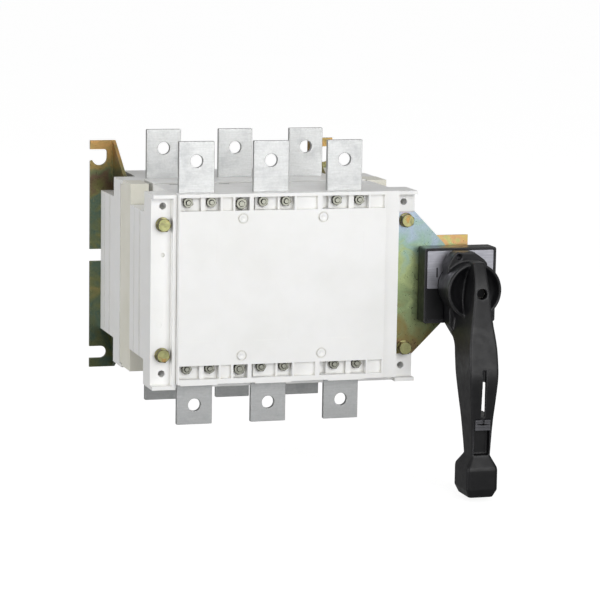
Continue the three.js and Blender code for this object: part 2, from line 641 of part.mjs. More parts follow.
// The rocker's pin stands between the floor and the roof of the drive frame, with a thick foot.
function rockerPin() {
  const wall = DRIVE_FRAME.gauge + CLEARANCE;
  const z0 = DRIVE_Z + DRIVE_FRAME.floor + wall;
  const z1 = DRIVE_Z + DRIVE_FRAME.rearRoof - wall;
  return join([
    rodZ(ROCKER_X, ROCKER_Y, ROCKER.footR, z0, ROCKER_Z - CLEARANCE, 20),
    rodZ(ROCKER_X, ROCKER_Y, ROCKER.boreR - CLEARANCE, z0 + 1, z1, 20),
  ]);
}

// ---------------------------------------------------------------- handle and its surround
// Square surround with a raised rim and a hollow back, drawn about the drive axis, y = 0 at its back.
function surround() {
  const { half, depth, rim, recess, hubR } = SURROUND;
  const wall = 3;
  return cut(plateY(roundedRect(-half, half, -half, half, 2), -depth, 0, 3), [
    plateY(roundedRect(-half + rim, half - rim, -half + rim, half - rim, 1), -depth - 1, -depth + recess, 2),
    block(-half + wall, half - wall, -depth + recess + wall, 1, -half + wall, half - wall),
    rodY(0, 0, hubR, -depth - 1, 1, 24),
  ]);
}

// Dial: a thin label plate round the upper part of the hub.
function dialPlate() {
  const { half, depth, rim, recess } = SURROUND;
  const x = half - rim - CLEARANCE;
  const y1 = -depth + recess - 0.1;
  return cut(plateY(roundedRect(-x, x, -2.5, x, 1), y1 - 0.6, y1, 2), [
    rodY(0, 0, HUB.baseR + 1, -depth - 2, 0, 32),
  ]);
}

// One cross-section of the arm: a rectangle in x and y with cut corners, at height z.
function armRing({ z, front, back, half, corner }) {
  return [
    [half - corner, front, z], [half, front + corner, z],
    [half, back - corner, z], [half - corner, back, z],
    [corner - half, back, z], [-half, back - corner, z],
    [-half, front + corner, z], [corner - half, front, z],
  ];
}

// Handle, drawn about the drive axis with y = 0 at the terminal plane of the front module.
function handle() {
  const hubProfile = [
    [0, HUB.rim - 2], [HUB.rimR - 1.5, HUB.rim], [HUB.rimR, HUB.rim + 3], [HUB.baseR + 0.6, HUB.base - 12],
    [HUB.baseR, HUB.base], [0, HUB.base],
  ].map(([r, y]) => new THREE.Vector2(r, y));
  const hub = solid(new THREE.LatheGeometry(hubProfile, 36));
  const nose = plateY(outline([
    [-16.5, 5], [16.5, 5], [16.5, 23.5], [5, 31], [-10, 31], [-16.5, 22.5],
  ]), -39, -25);
  const web = plateY(outline([
    [-15.5, -10], [15.5, -10], [15, -31.5], [5.2, -46.7], [-5.2, -46.7], [-15, -31.5],
  ]), -38, -23);
  const arm = loft([
    { z: 25.5, front: -66, back: -50, half: 5, corner: 1.5 },
    { z: 12, front: -71.5, back: -45, half: 5.5, corner: 1.5 },
    { z: 0, front: -75, back: -40, half: 7.3, corner: 2 },
    { z: -22, front: -77.4, back: -26, half: 9, corner: 2.5 },
    { z: -34, front: -79.5, back: -22.5, half: 11.5, corner: 3 },
    { z: -46, front: -82, back: -42, half: 12.6, corner: 3.5 },
    { z: -58, front: -84, back: -45, half: 12.8, corner: 3.5 },
    { z: -71, front: -85.8, back: -47, half: 12.6, corner: 3.5 },
    { z: -90, front: -84.6, back: -50.8, half: 11.2, corner: 3.2 },
    { z: -110, front: -82.9, back: -55, half: 9.6, corner: 3 },
    { z: ARM_END.top - 1, front: -82.2, back: -60, half: 8, corner: 2.5 },
  ].map(armRing));
  const { halfWidth, top, bottom, front, back } = ARM_END;
  const end = loft([
    { z: top + 3, front: front + 5, back: back - 3, half: 8.5, corner: 2.5 },
    { z: top - 4, front: front + 1, back: back + 1, half: halfWidth - 1, corner: 3.5 },
    { z: top - 10, front, back, half: halfWidth, corner: 4 },
    { z: bottom + 4, front, back, half: halfWidth, corner: 4 },
    { z: bottom, front: front + 3, back: back - 3, half: halfWidth - 3, corner: 3 },
  ].map(armRing));
  const lockHalf = LOCK.halfWidth + CLEARANCE;
  // The slot is narrow at the front and opens backwards, out through the arm's right-hand rear edge.
  const { half, neck, flareLeft, flareRight } = SLOT;
  const slot = outline([
    [-half, -95], [half, -95], [half, neck], [flareRight, -50], [flareRight, -40],
    [flareLeft, -40], [flareLeft, -50], [-half, neck],
  ]);
  return cut(join([hub, nose, web, arm, end]), [
    rodY(0, 0, SHAFT_R + CLEARANCE, HUB.base - 28, HUB.base + 1, 24),
    rodY(0, 0, 4.3, -80, -64, 20),
    rodY(0, 0, 2.3, -66, -40, 12),
    plateZ(slot, SLOT.bottom, SLOT.top),
    block(-lockHalf, lockHalf, -95, -82 + LOCK.depth, LOCK.recessBottom, LOCK.top + CLEARANCE),
    rodY(-8.3, 27, 2, -45, -20, 16),
  ]);
}

function handleScrew() {
  return join([
    rodY(0, 0, 4, -69.5, -64.3, 20),
    rodY(0, 0, 2, -64.5, -49.5, 12),
  ]);
}

function lockSlider() {
  const front = -84.4;
  const back = -82 + LOCK.depth - CLEARANCE;
  const { halfWidth, top, bottom } = LOCK;
  const grooves = [1, 2, 3].map((i) => {
    const z = top - (i * (top - bottom)) / 4;
    return block(-halfWidth - 1, halfWidth + 1, front - 1, front + 0.7, z - 0.5, z + 0.5);
  });
  return cut(block(-halfWidth, halfWidth, front, back, bottom, top), grooves);
}

// ---------------------------------------------------------------- put together
const assembly = new THREE.Group();
assembly.position.set(-DATUM_X, 0, 0);

part(assembly, 'left_mounting_rail', mountingRail(-1), 'zinc');
part(assembly, 'right_mounting_rail', mountingRail(1), 'zinc');
for (const [word, x] of [['left', -RAIL_SCREW.x], ['right', RAIL_SCREW.x]]) {
  RAIL_SCREW.z.forEach((z, i) => {
    part(assembly, `${word}_rail_screw_${i + 1}`, railScrew(), 'steel', [x, 0, z]);
  });
}
part(assembly, 'left_spacer', spacer(FLANGE.left + 0.5, COVER.left - RIM.thick - 1), 'cream');
part(assembly, 'right_spacer', spacer(COVER.right + 0.5, FLANGE.right - 0.2), 'cream');

addModule(assembly, 'rear', REAR_Y);
const frontModule = addModule(assembly, 'front', FRONT_Y);

for (const { word, clampZ } of ENDS) {
  const screws = POLES.flatMap((pole) => [pole - CLAMP_X, pole + CLAMP_X]);
  screws.forEach((x, i) => {
    part(frontModule, `${word}_clamp_screw_${i + 1}`, clampScrew(), 'steel', [x, 0, clampZ]);
  });
}
part(frontModule, 'top_cover_bolt', coverBolt(), 'steel', [COVER_BOLT.x, 0, COVER_BOLT.top]);
part(frontModule, 'bottom_cover_bolt', coverBolt(), 'steel', [COVER_BOLT.x, 0, COVER_BOLT.bottom]);

const tieReach = MODULE_PITCH + FLANGE.depth - 5;
for (const [end, z] of [['top', TIE.top], ['bottom', TIE.bottom]]) {
  part(frontModule, `left_${end}_tie_bolt`, tieBolt(tieReach), 'zinc', [TIE.left, 0, z]);
  const seat = -PLATE_GAUGE - CLEARANCE;
  part(frontModule, `right_${end}_tie_bolt`, tieBolt(tieReach), 'zinc', [TIE.right, seat, z]);
}

part(assembly, 'mechanism_plate', mechanismPlate(), 'zinc');
part(assembly, 'drive_frame', driveFrame(), 'zinc');
part(assembly, 'rocker_pin', rockerPin(), 'steel');
part(assembly, 'rocker', rocker(), 'steel', [ROCKER_X, ROCKER_Y, ROCKER_Z]);

const drive = new THREE.Group();
drive.position.set(DRIVE_X, FRONT_Y, DRIVE_Z);
assembly.add(drive);
const surroundBack = -PLATE_GAUGE - CLEARANCE;
part(drive, 'handle_surround', surround(), 'black', [0, surroundBack, 0]);
part(drive, 'dial_plate', dialPlate(), 'label', [0, surroundBack, 0]);
part(drive, 'crankshaft', crankshaft(), 'steel', [0, -FRONT_Y, 0]);
part(drive, 'handle', handle(), 'black');
part(drive, 'handle_screw', handleScrew(), 'steel');
part(drive, 'lock_slider', lockSlider(), 'grey');

export default assembly;
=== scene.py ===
"""Looks for the manual transfer switch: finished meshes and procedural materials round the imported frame.

Everything is placed from the frame: node boxes, and the joints' own points. Lengths are written in
millimetres and turned into metres by the helpers. Y grows from the handle side towards the wall.
"""

import json
import math
import random

import bmesh
import bpy
from mathutils import Matrix, Vector


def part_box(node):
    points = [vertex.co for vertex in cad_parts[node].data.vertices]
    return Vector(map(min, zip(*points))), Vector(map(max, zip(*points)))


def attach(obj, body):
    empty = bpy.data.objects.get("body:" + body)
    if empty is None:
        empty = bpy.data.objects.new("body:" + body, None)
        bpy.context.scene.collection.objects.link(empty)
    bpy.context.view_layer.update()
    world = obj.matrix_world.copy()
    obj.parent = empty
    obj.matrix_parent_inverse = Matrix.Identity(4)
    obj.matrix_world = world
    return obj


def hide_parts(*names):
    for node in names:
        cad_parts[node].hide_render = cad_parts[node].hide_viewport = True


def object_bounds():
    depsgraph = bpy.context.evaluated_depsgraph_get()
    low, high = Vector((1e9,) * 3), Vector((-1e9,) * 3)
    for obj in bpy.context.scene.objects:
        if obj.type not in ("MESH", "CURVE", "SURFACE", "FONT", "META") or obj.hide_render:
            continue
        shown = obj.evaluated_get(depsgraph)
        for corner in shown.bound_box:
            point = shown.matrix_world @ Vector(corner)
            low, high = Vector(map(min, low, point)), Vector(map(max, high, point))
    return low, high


MM = 0.001
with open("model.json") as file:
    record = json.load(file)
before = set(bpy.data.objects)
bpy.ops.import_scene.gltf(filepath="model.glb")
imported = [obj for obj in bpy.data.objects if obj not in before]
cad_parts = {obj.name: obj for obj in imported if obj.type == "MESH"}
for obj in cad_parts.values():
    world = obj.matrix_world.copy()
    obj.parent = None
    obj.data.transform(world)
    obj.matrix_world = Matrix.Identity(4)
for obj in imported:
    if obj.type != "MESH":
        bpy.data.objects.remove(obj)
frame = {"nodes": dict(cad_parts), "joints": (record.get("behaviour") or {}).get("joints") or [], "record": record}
CAD_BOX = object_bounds()
random.seed(7)

NODES = frame["nodes"]
BODY_OF = {node: body for body, names in frame["record"]["behaviour"]["bodies"].items() for node in names}
JOINTS = {joint["name"]: joint for joint in frame["joints"]}


def box_mm(node):
    """A CAD node's lowest and highest corner in millimetres."""
    low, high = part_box(node)
    return low / MM, high / MM


def middle_mm(node):
    """The centre of a CAD node's box in millimetres."""
    low, high = box_mm(node)
    return (low + high) / 2


POLE_X = middle_mm("front_top_terminal_2").x  # the middle pole, from which the object's widths are counted


# ------------------------------------------------------------------ materials
class Shader:
    """Builds one Principled material from small procedural steps; sizes of patterns are in millimetres."""

    def __init__(self, name):
        self.material = bpy.data.materials.new(name)
        self.material.use_nodes = True
        self.tree = self.material.node_tree
        self.bsdf = self.tree.nodes["Principled BSDF"]
        self.output = self.tree.nodes["Material Output"]
        self.place = self.add("ShaderNodeTexCoord").outputs["Object"]

    def add(self, kind, **settings):
        """A new node of the material."""
        node = self.tree.nodes.new(kind)
        for key, value in settings.items():
            setattr(node, key, value)
        return node

    def link(self, source, target):
        self.tree.links.new(source, target)

    def feed(self, target, value):
        """Sets an input from a number, a colour or another node's output."""
        if hasattr(value, "is_linked"):
            self.link(value, target)
        else:
            target.default_value = value

    def set(self, **values):
        """Sets inputs of the Principled node: base_color stands for its Base Color, and so on."""
        for key, value in values.items():
            label = key.replace("_", " ").title().replace("Ior", "IOR")
            self.feed(self.bsdf.inputs[label], value)

    def noise(self, size, detail=4.0, rough=0.55, stretch=(1, 1, 1), warp=0.0):
        """Noise whose blobs are about size millimetres, stretched along the axes as given."""
        mapping = self.add("ShaderNodeMapping")
        mapping.inputs["Scale"].default_value = [1 / (size * MM * s) for s in stretch]
        self.link(self.place, mapping.inputs["Vector"])
        node = self.add("ShaderNodeTexNoise")
        node.inputs["Scale"].default_value = 1.0
        node.inputs["Detail"].default_value = detail
        node.inputs["Roughness"].default_value = rough
        node.inputs["Distortion"].default_value = warp
        self.link(mapping.outputs["Vector"], node.inputs["Vector"])
        return node.outputs["Fac"]

    def spread(self, value, low, high, to_low=0.0, to_high=1.0):
        """Maps low..high of value to to_low..to_high, clamped."""
        node = self.add("ShaderNodeMapRange")
        limits = {"From Min": low, "From Max": high, "To Min": to_low, "To Max": to_high}
        for name, number in limits.items():
            node.inputs[name].default_value = number
        self.link(value, node.inputs["Value"])
        return node.outputs["Result"]

    def math(self, operation, a, b):
        """An arithmetic step on two numbers or outputs."""
        node = self.add("ShaderNodeMath", operation=operation)
        self.feed(node.inputs[0], a)
        self.feed(node.inputs[1], b)
        return node.outputs["Value"]

    def along(self, axis, low, high):
        """0 at low, 1 at high along an axis of the frame, in millimetres."""
        split = self.add("ShaderNodeSeparateXYZ")
        self.link(self.place, split.inputs[0])
        return self.spread(split.outputs[axis], low * MM, high * MM)

    def ramp(self, value, stops):
        """The colour at value among stops of (position, colour)."""
        node = self.add("ShaderNodeValToRGB")
        elements = node.color_ramp.elements
        while len(elements) < len(stops):
            elements.new(0.5)
        for element, (position, colour) in zip(elements, stops):
            element.position = position
            element.color = linear(colour)
        self.link(value, node.inputs["Fac"])
        return node.outputs["Color"]

    def mix(self, factor, a, b):
        """Colour a at factor 0, colour b at factor 1."""
        node = self.add("ShaderNodeMix", data_type="RGBA", blend_type="MIX")
        self.feed(node.inputs[0], factor)
        self.feed(node.inputs[6], a if hasattr(a, "is_linked") else linear(a))
        self.feed(node.inputs[7], b if hasattr(b, "is_linked") else linear(b))
        return node.outputs[2]

    def crevice(self, reach, low=0.35, high=0.95):
        """1 in open places, 0 deep in corners closer together than reach millimetres."""
        node = self.add("ShaderNodeAmbientOcclusion", samples=6)
        node.inputs["Distance"].default_value = reach * MM
        return self.spread(node.outputs["AO"], low, high)

    def facing(self):
        """1 on surfaces that face the front, 0 on those turned away by more than some 25 degrees."""
        split = self.add("ShaderNodeSeparateXYZ")
        self.link(self.add("ShaderNodeNewGeometry").outputs["True Normal"], split.inputs[0])
        return self.spread(split.outputs["Y"], -0.9, -0.97)

    def edge(self, radius):
        """1 on sharp outward edges: how far a rounded normal leans from the true one."""
        bevel = self.add("ShaderNodeBevel", samples=4)
        bevel.inputs["Radius"].default_value = radius * MM
        geometry = self.add("ShaderNodeNewGeometry")
        dot = self.add("ShaderNodeVectorMath", operation="DOT_PRODUCT")
        self.link(bevel.outputs["Normal"], dot.inputs[0])
        self.link(geometry.outputs["Normal"], dot.inputs[1])
        return self.spread(dot.outputs["Value"], 0.985, 0.86)

    def bump(self, height, depth, strength=1.0):
        """Bump of the given depth in millimetres; a second call adds to the first."""
        node = self.add("ShaderNodeBump")
        node.inputs["Strength"].default_value = strength
        node.inputs["Distance"].default_value = depth * MM
        self.link(height, node.inputs["Height"])
        target = self.bsdf.inputs["Normal"]
        if target.is_linked:
            self.link(target.links[0].from_socket, node.inputs["Normal"])
        self.link(node.outputs["Normal"], target)


def linear(colour):
    """A colour written as #rrggbb, in the linear values that nodes take."""
    if not isinstance(colour, str):
        return colour
    parts = [int(colour[i : i + 2], 16) / 255 for i in (1, 3, 5)]
    return [c / 12.92 if c <= 0.04045 else ((c + 0.055) / 1.055) ** 2.4 for c in parts] + [1.0]


def moulding(name, colour, stain, roughness):
    """Satin moulded plastic: fine spark-eroded texture, faint cloudiness, painted shade greying the corners."""
    s = Shader(name)
    cloud = s.noise(38, detail=3)
    tint = s.mix(s.spread(cloud, 0.35, 0.7), colour, stain)
    # painted shade: an occlusion mask greys the corners towards #cfcdc3
    corner_shade = s.mix(s.crevice(3.0, 0.1, 0.75), "#cfcdc3", tint)
    specks = s.spread(s.noise(1.1, detail=1), 0.74, 0.8)
    s.set(base_color=s.mix(s.math("MULTIPLY", specks, 0.12), corner_shade, "#8f8c82"))
    s.set(roughness=s.spread(s.noise(9), 0.3, 0.7, roughness - 0.05, roughness + 0.07))
    s.set(ior=1.5, subsurface_weight=0.06)
    s.bsdf.inputs["Subsurface Radius"].default_value = (0.002, 0.0018, 0.0014)
    s.bump(s.noise(0.5, detail=2), 0.02, 0.35)
    s.bump(s.noise(24, detail=2), 0.12, 0.25)
    return s.material


def tinned_bar(name):
    """Tinned copper: faint streaks across the bar, soft mottle and dull blotches; painted reflection makes it
    darker to the rear and towards the bottom, and a painted highlight lightens its edges."""
    s = Shader(name)
    streak = s.noise(0.8, detail=4, rough=0.6, stretch=(14, 1, 1))
    mottle = s.noise(1.7, detail=4, rough=0.65)
    blotch = s.noise(13, detail=4, rough=0.6, warp=0.5)
    tone = s.mix(s.spread(streak, 0.3, 0.7), "#bcbdbb", "#cccdcd")
    tone = s.mix(s.spread(mottle, 0.35, 0.75, 0.0, 0.45), tone, "#a9abac")
    tone = s.mix(s.spread(blotch, 0.5, 0.75, 0.0, 0.45), tone, "#9ea0a3")
    # painted reflection: the bars are toned greyer with depth and darker towards the bottom
    tone = s.mix(s.math("MULTIPLY", s.along("Y", -100, -190), 0.12), tone, "#b0b1b3")
    tone = s.mix(s.math("MULTIPLY", s.along("Z", 40, -40), 0.22), tone, "#8d9092")
    # painted highlight: sharp edges lightened towards #e4e4e0
    s.set(base_color=s.mix(s.math("MULTIPLY", s.edge(0.5), 0.3), tone, "#e4e4e0"))
    s.set(metallic=0.92)
    dulled = s.spread(blotch, 0.4, 0.8, 0.0, 0.12)
    s.set(roughness=s.math("ADD", s.spread(mottle, 0.2, 0.8, 0.34, 0.46), dulled))
    s.bump(streak, 0.03, 0.4)
    s.bump(mottle, 0.03, 0.4)
    return s.material


def iridescent(name, stops, patch, tone=None, dark="#2c2a22", flank=None):
    """Chromated zinc: a thin film whose hue drifts in patches, over rolled steel with fine scratches.

    patch is the patches' size. tone, if given, is (low, high, share): the heights between which the hue
    also drifts upwards, and that drift's share. flank is the colour painted on surfaces that turn sideways, as
    painted shade."""
    s = Shader(name)
    drift = s.noise(patch, detail=2.5, rough=0.5, warp=1.2)
    if tone is not None:
        low, high, share = tone
        patches = s.math("MULTIPLY", drift, 1 - share)
        drift = s.math("ADD", patches, s.math("MULTIPLY", s.along("Z", low, high), share))
        middle = 0.5 * (1 - share)
        drift = s.spread(drift, middle - 0.16, middle + share + 0.16)
    else:
        drift = s.spread(drift, 0.3, 0.7)
    hue = s.ramp(drift, stops)
    mottle = s.noise(2.2, detail=4, rough=0.7)
    film = s.mix(s.spread(mottle, 0.4, 0.75, 0.0, 0.2), hue, dark)
    scratch = s.spread(s.noise(0.5, detail=2, stretch=(1, 1, 30)), 0.68, 0.8, 0.0, 0.35)
    worn = s.mix(scratch, film, "#cfc9a8")
    # painted shade: surfaces turned sideways take the flank colour
    if flank is not None:
        worn = s.mix(s.facing(), flank, worn)
    # painted highlight: sharp edges lightened towards #d8cf9f
    s.set(base_color=s.mix(s.math("MULTIPLY", s.edge(0.5), 0.6), worn, "#d8cf9f"))
    s.set(metallic=0.95, roughness=s.spread(mottle, 0.3, 0.75, 0.24, 0.46))
    s.bump(mottle, 0.02, 0.3)
    return s.material


def plain_metal(name, colour, dark, roughness=0.32, grain=(1, 1, 1), flank=None):
    """Plated screw or machined steel: fine tool marks, painted shade that darkens its corners and, if a colour
    is given for them, its flanks, and a painted highlight on its edges."""
    s = Shader(name)
    marks = s.noise(0.3, detail=4, rough=0.7, stretch=grain)
    base = s.mix(s.spread(marks, 0.3, 0.7), dark, colour)
    # painted shade: surfaces turned sideways take the flank colour
    if flank is not None:
        base = s.mix(s.facing(), flank, base)
    # painted shade: an occlusion mask darkens the corners to near black
    shaded_corners = s.mix(s.crevice(2.0, 0.3, 0.9), "#23211c", base)
    # painted highlight: sharp edges lightened towards #e2dfd2
    s.set(base_color=s.mix(s.edge(0.35), shaded_corners, "#e2dfd2"))
    s.set(metallic=1.0, roughness=s.spread(s.noise(1.6), 0.3, 0.7, roughness - 0.06, roughness + 0.12))
    s.bump(marks, 0.025, 0.5)
    return s.material


def black_moulding(name, colour="#0d0d0f", worn="#151517", roughness=0.38):
    """Glass-filled plastic: leathery spark texture, a slight gloss, and a painted highlight that lightens its
    edges.
    """
    s = Shader(name)
    cloud = s.spread(s.noise(16, detail=3), 0.3, 0.7)
    base = s.mix(cloud, colour, worn)
    # painted highlight: sharp edges lightened towards #6c6c6f
    s.set(base_color=s.mix(s.math("MULTIPLY", s.edge(1.8), 0.4), base, "#6c6c6f"))
    s.set(ior=1.48, specular_ior_level=0.33)
    s.set(roughness=s.spread(s.noise(6), 0.3, 0.7, roughness - 0.05, roughness + 0.09))
    s.bump(s.noise(0.45, detail=3, rough=0.6), 0.03, 0.4)
    s.bump(s.noise(14, detail=2), 0.12, 0.2)
    return s.material


def dial_label(name):
    """Silver label: satin foil with a fine horizontal grain."""
    s = Shader(name)
    grain = s.noise(0.3, detail=3, stretch=(40, 1, 1))
    haze = s.noise(12, detail=3)
    foil = s.mix(s.spread(grain, 0.3, 0.7), "#9a9aa2", "#b9b9c0")
    s.set(base_color=s.mix(s.spread(haze, 0.4, 0.75, 0, 0.4), foil, "#86868f"))
    s.set(metallic=0.75, roughness=s.spread(haze, 0.3, 0.7, 0.3, 0.45))
    s.bump(grain, 0.01, 0.4)
    return s.material


def ink_and_painted_shade(name):
    """Matt black print with a fine grain; also the dark fills of painted shade in the front module's top."""
    s = Shader(name)
    s.set(base_color=s.mix(s.spread(s.noise(0.8), 0.3, 0.7), "#101013", "#1d1d21"), roughness=0.5)
    s.bump(s.noise(0.3), 0.01, 0.3)
    return s.material


def laminate(name):
    """Dark moulded insulation with short pale fibres near its surface."""
    s = Shader(name)
    fibre = s.spread(s.noise(0.7, detail=3, stretch=(8, 1, 1)), 0.62, 0.75)
    s.set(base_color=s.mix(s.math("MULTIPLY", fibre, 0.4), "#33211a", "#6a4d3a"))
    s.set(roughness=s.spread(s.noise(4), 0.3, 0.7, 0.42, 0.6))
    s.bump(s.noise(0.6, detail=3), 0.03, 0.5)
    return s.material


# Hues of the zinc films: olive and teal with brown for the rails, pastel for the front plate.
ZINC_RAIL = [
    (0.0, "#8f8455"), (0.12, "#6d7350"), (0.24, "#56695a"), (0.36, "#75744a"), (0.48, "#6f5c4c"),
    (0.6, "#6c7455"), (0.76, "#9a8452"), (0.88, "#b48c58"), (1.0, "#b8a268"),
]
ZINC_PLATE = [
    (0.0, "#5b4350"), (0.12, "#7d5a56"), (0.24, "#8a7f52"), (0.42, "#8b9c72"), (0.56, "#a9b783"),
    (0.68, "#94b0a0"), (0.8, "#a2b3c2"), (0.9, "#b9adbd"), (1.0, "#c2c79f"),
]
ZINC_GOLD = [(0.0, "#b3a562"), (0.3, "#cdb56e"), (0.55, "#d6a878"), (0.75, "#c9c07e"), (1.0, "#a6bb8c")]
ZINC_BOLT = [(0.0, "#8d8a66"), (0.35, "#9fa070"), (0.6, "#b0b07c"), (0.8, "#a58a5c"), (1.0, "#c59a5c")]

MATERIALS = {
    "white_moulding": moulding("white_moulding", "#f3f3f2", "#eeeeec", 0.42),
    "cream_moulding": moulding("cream_moulding", "#ebe9de", "#e2e0d2", 0.46),
    "tinned_bar": tinned_bar("tinned_bar"),
    "yellow_zinc": iridescent("yellow_zinc", ZINC_RAIL, patch=18, tone=(46, 92, 0.5)),
    "front_plate_zinc": iridescent(
        "front_plate_zinc", ZINC_PLATE, patch=20, tone=(-66, 58, 0.55), dark="#4e4a3a"
    ),
    "frame_zinc": iridescent("frame_zinc", ZINC_GOLD, patch=20),
    # the flank colours of these two finishes are painted shade on the sides of the heads
    "zinc_fastener": iridescent("zinc_fastener", ZINC_BOLT, patch=9, dark="#3a3826", flank="#5c5636"),
    "fastener_steel": plain_metal("fastener_steel", "#c2c3b7", "#74756a", flank="#1b1b18"),
    "blackened_steel": plain_metal("blackened_steel", "#1d1d1e", "#101011", 0.45),
    "mechanism_steel": plain_metal("mechanism_steel", "#b4b4b2", "#85868a", 0.28),
    "contact_copper": plain_metal("contact_copper", "#c9875f", "#9a5b3c", 0.3, (1, 1, 40)),
    "carriage_moulding": laminate("carriage_moulding"),
    "black_plastic": black_moulding("black_plastic"),
    "grey_plastic": black_moulding("grey_plastic", "#434347", "#515156", 0.5),
    "dial_silver": dial_label("dial_silver"),
    "ink_and_painted_shade": ink_and_painted_shade("ink_and_painted_shade"),
}


# ------------------------------------------------------------------ mesh helpers
def new_object(name, mesh):
    """Puts a mesh or curve into the scene as a piece."""
    piece = bpy.data.objects.new(name, mesh)
    bpy.context.scene.collection.objects.link(piece)
    return piece


def mesh_from(bm, name):
    """Turns a finished bmesh into a mesh and frees it."""
    mesh = bpy.data.meshes.new(name)
    bm.to_mesh(mesh)
    bm.free()
    return mesh


def applied(piece):
    """Puts the result of a piece's modifiers into its mesh."""
    graph = bpy.context.evaluated_depsgraph_get()
    graph.update()
    mesh = bpy.data.meshes.new_from_object(piece.evaluated_get(graph))
    piece.modifiers.clear()
    old = piece.data
    piece.data = mesh
    bpy.data.meshes.remove(old)
    return piece


WELD = 0.002  # points closer together than this become one


def tidy_mesh(mesh, flat=0.4):
    """Welds doubled points and removes the edges inside faces that are flat to so many degrees."""
    bm = bmesh.new()
    bm.from_mesh(mesh)
    bmesh.ops.remove_doubles(bm, verts=bm.verts, dist=WELD * MM)
    bmesh.ops.dissolve_limit(bm, angle_limit=math.radians(flat), verts=bm.verts, edges=bm.edges)
    bmesh.ops.recalc_face_normals(bm, faces=bm.faces)
    bm.to_mesh(mesh)
    bm.free()


def shade(piece, angle=35):
    """Smooth shading, broken at edges sharper than angle."""
    mesh = piece.data
    mesh.polygons.foreach_set("use_smooth", [True] * len(mesh.polygons))
    mesh.set_sharp_from_angle(angle=math.radians(angle))
    return piece


def round_edges(piece, width):
    """Rounds every edge sharper than 35 degrees, then weights normals so that flat faces stay flat."""
    bevel = piece.modifiers.new("round", "BEVEL")
    bevel.width = width * MM
    bevel.segments = 3
    bevel.limit_method = "ANGLE"
    bevel.angle_limit = math.radians(35)
    bevel.use_clamp_overlap = True
    applied(piece)
    shade(piece, 60)
    return weighted(piece)


def dress(piece, material, body, *nodes):
    """Gives a finished piece its material, its body and the CAD nodes that it stands for."""
    piece.data.materials.clear()
    piece.data.materials.append(MATERIALS[material])
    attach(piece, body)
    if nodes:
        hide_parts(*nodes)
    return piece


def block(x0, x1, y0, y1, z0, z1):
    """A cutter: a box between two corners, in millimetres."""
    bm = bmesh.new()
    bmesh.ops.create_cube(bm, size=1.0)
    size = Vector((x1 - x0, y1 - y0, z1 - z0)) * MM
    middle = Vector((x0 + x1, y0 + y1, z0 + z1)) * (MM / 2)
    placed = Matrix.Translation(middle) @ Matrix.Diagonal((*size, 1.0))
    bmesh.ops.transform(bm, matrix=placed, verts=bm.verts)
    return bm


def full_turn(steps):
    """Equal steps round a circle, in radians."""
    return [2 * math.pi * i / steps for i in range(steps)]


def turned_point(bm, radius, y, turn):
    """A new point at a radius, in millimetres, and a turn about the Y axis."""
    return bm.verts.new((radius * math.cos(turn) * MM, y * MM, radius * math.sin(turn) * MM))


def lathe(profile, sides=48):
    """Turns (radius, y) points in millimetres about the Y axis; a profile starts and ends on the axis."""
    bm = bmesh.new()
    rings = []
    for radius, y in profile:
        if radius < 1e-6:
            rings.append([bm.verts.new((0, y * MM, 0))])
            continue
        rings.append([turned_point(bm, radius, y, turn) for turn in full_turn(sides)])
    for lower, upper in zip(rings, rings[1:]):
        join_rings(bm, lower, upper)
    bmesh.ops.recalc_face_normals(bm, faces=bm.faces)
    return bm


def ring(profile, sides=48):
    """Turns a closed loop of (radius, y) points, clear of the axis, into a ring about the Y axis."""
    bm = bmesh.new()
    rings = []
    for radius, y in profile:
        rings.append([turned_point(bm, radius, y, turn) for turn in full_turn(sides)])
    for lower, upper in zip(rings, rings[1:] + rings[:1]):
        join_rings(bm, lower, upper)
    bmesh.ops.recalc_face_normals(bm, faces=bm.faces)
    return bm


def join_rings(bm, a, b):
    """Faces between two rings of points, either of which may be a single point."""
    count = max(len(a), len(b))
    for i in range(count):
        j = (i + 1) % count
        corners = [a[i % len(a)], a[j % len(a)], b[j % len(b)], b[i % len(b)]]
        unique = list(dict.fromkeys(corners))
        if len(unique) > 2:
            bm.faces.new(unique)


def loft(sections):
    """Closes a stack of equal outlines, lists of points in millimetres, into a solid."""
    bm = bmesh.new()
    made = [[bm.verts.new(Vector(p) * MM) for p in section] for section in sections]
    for lower, upper in zip(made, made[1:]):
        join_rings(bm, lower, upper)
    bm.faces.new(made[0])
    bm.faces.new(made[-1])
    bmesh.ops.recalc_face_normals(bm, faces=bm.faces)
    return bm


def carve(piece, cutters, operation="DIFFERENCE"):
    """Cuts a list of solids out of a piece, or joins them to it."""
    if not cutters:
        return piece
    group = bpy.data.collections.new("cutters")
    objects = [new_object("cutter", mesh_from(bm, "cutter")) for bm in cutters]
    for item in objects:
        group.objects.link(item)
    modifier = piece.modifiers.new("carve", "BOOLEAN")
    modifier.operation = operation
    modifier.operand_type = "COLLECTION"
    modifier.collection = group
    modifier.solver = "EXACT"
    applied(piece)
    for item in objects:
        bpy.data.objects.remove(item)
    bpy.data.collections.remove(group)
    return piece


def moved(bm, x=0.0, y=0.0, z=0.0):
    """Shifts a solid by millimetres."""
    bmesh.ops.translate(bm, verts=bm.verts, vec=Vector((x, y, z)) * MM)
    return bm


def merged(solids):
    """Several solids as the separate shells of one mesh."""
    whole = bmesh.new()
    for bm in solids:
        mesh = mesh_from(bm, "shell")
        whole.from_mesh(mesh)
        bpy.data.meshes.remove(mesh)
    return whole


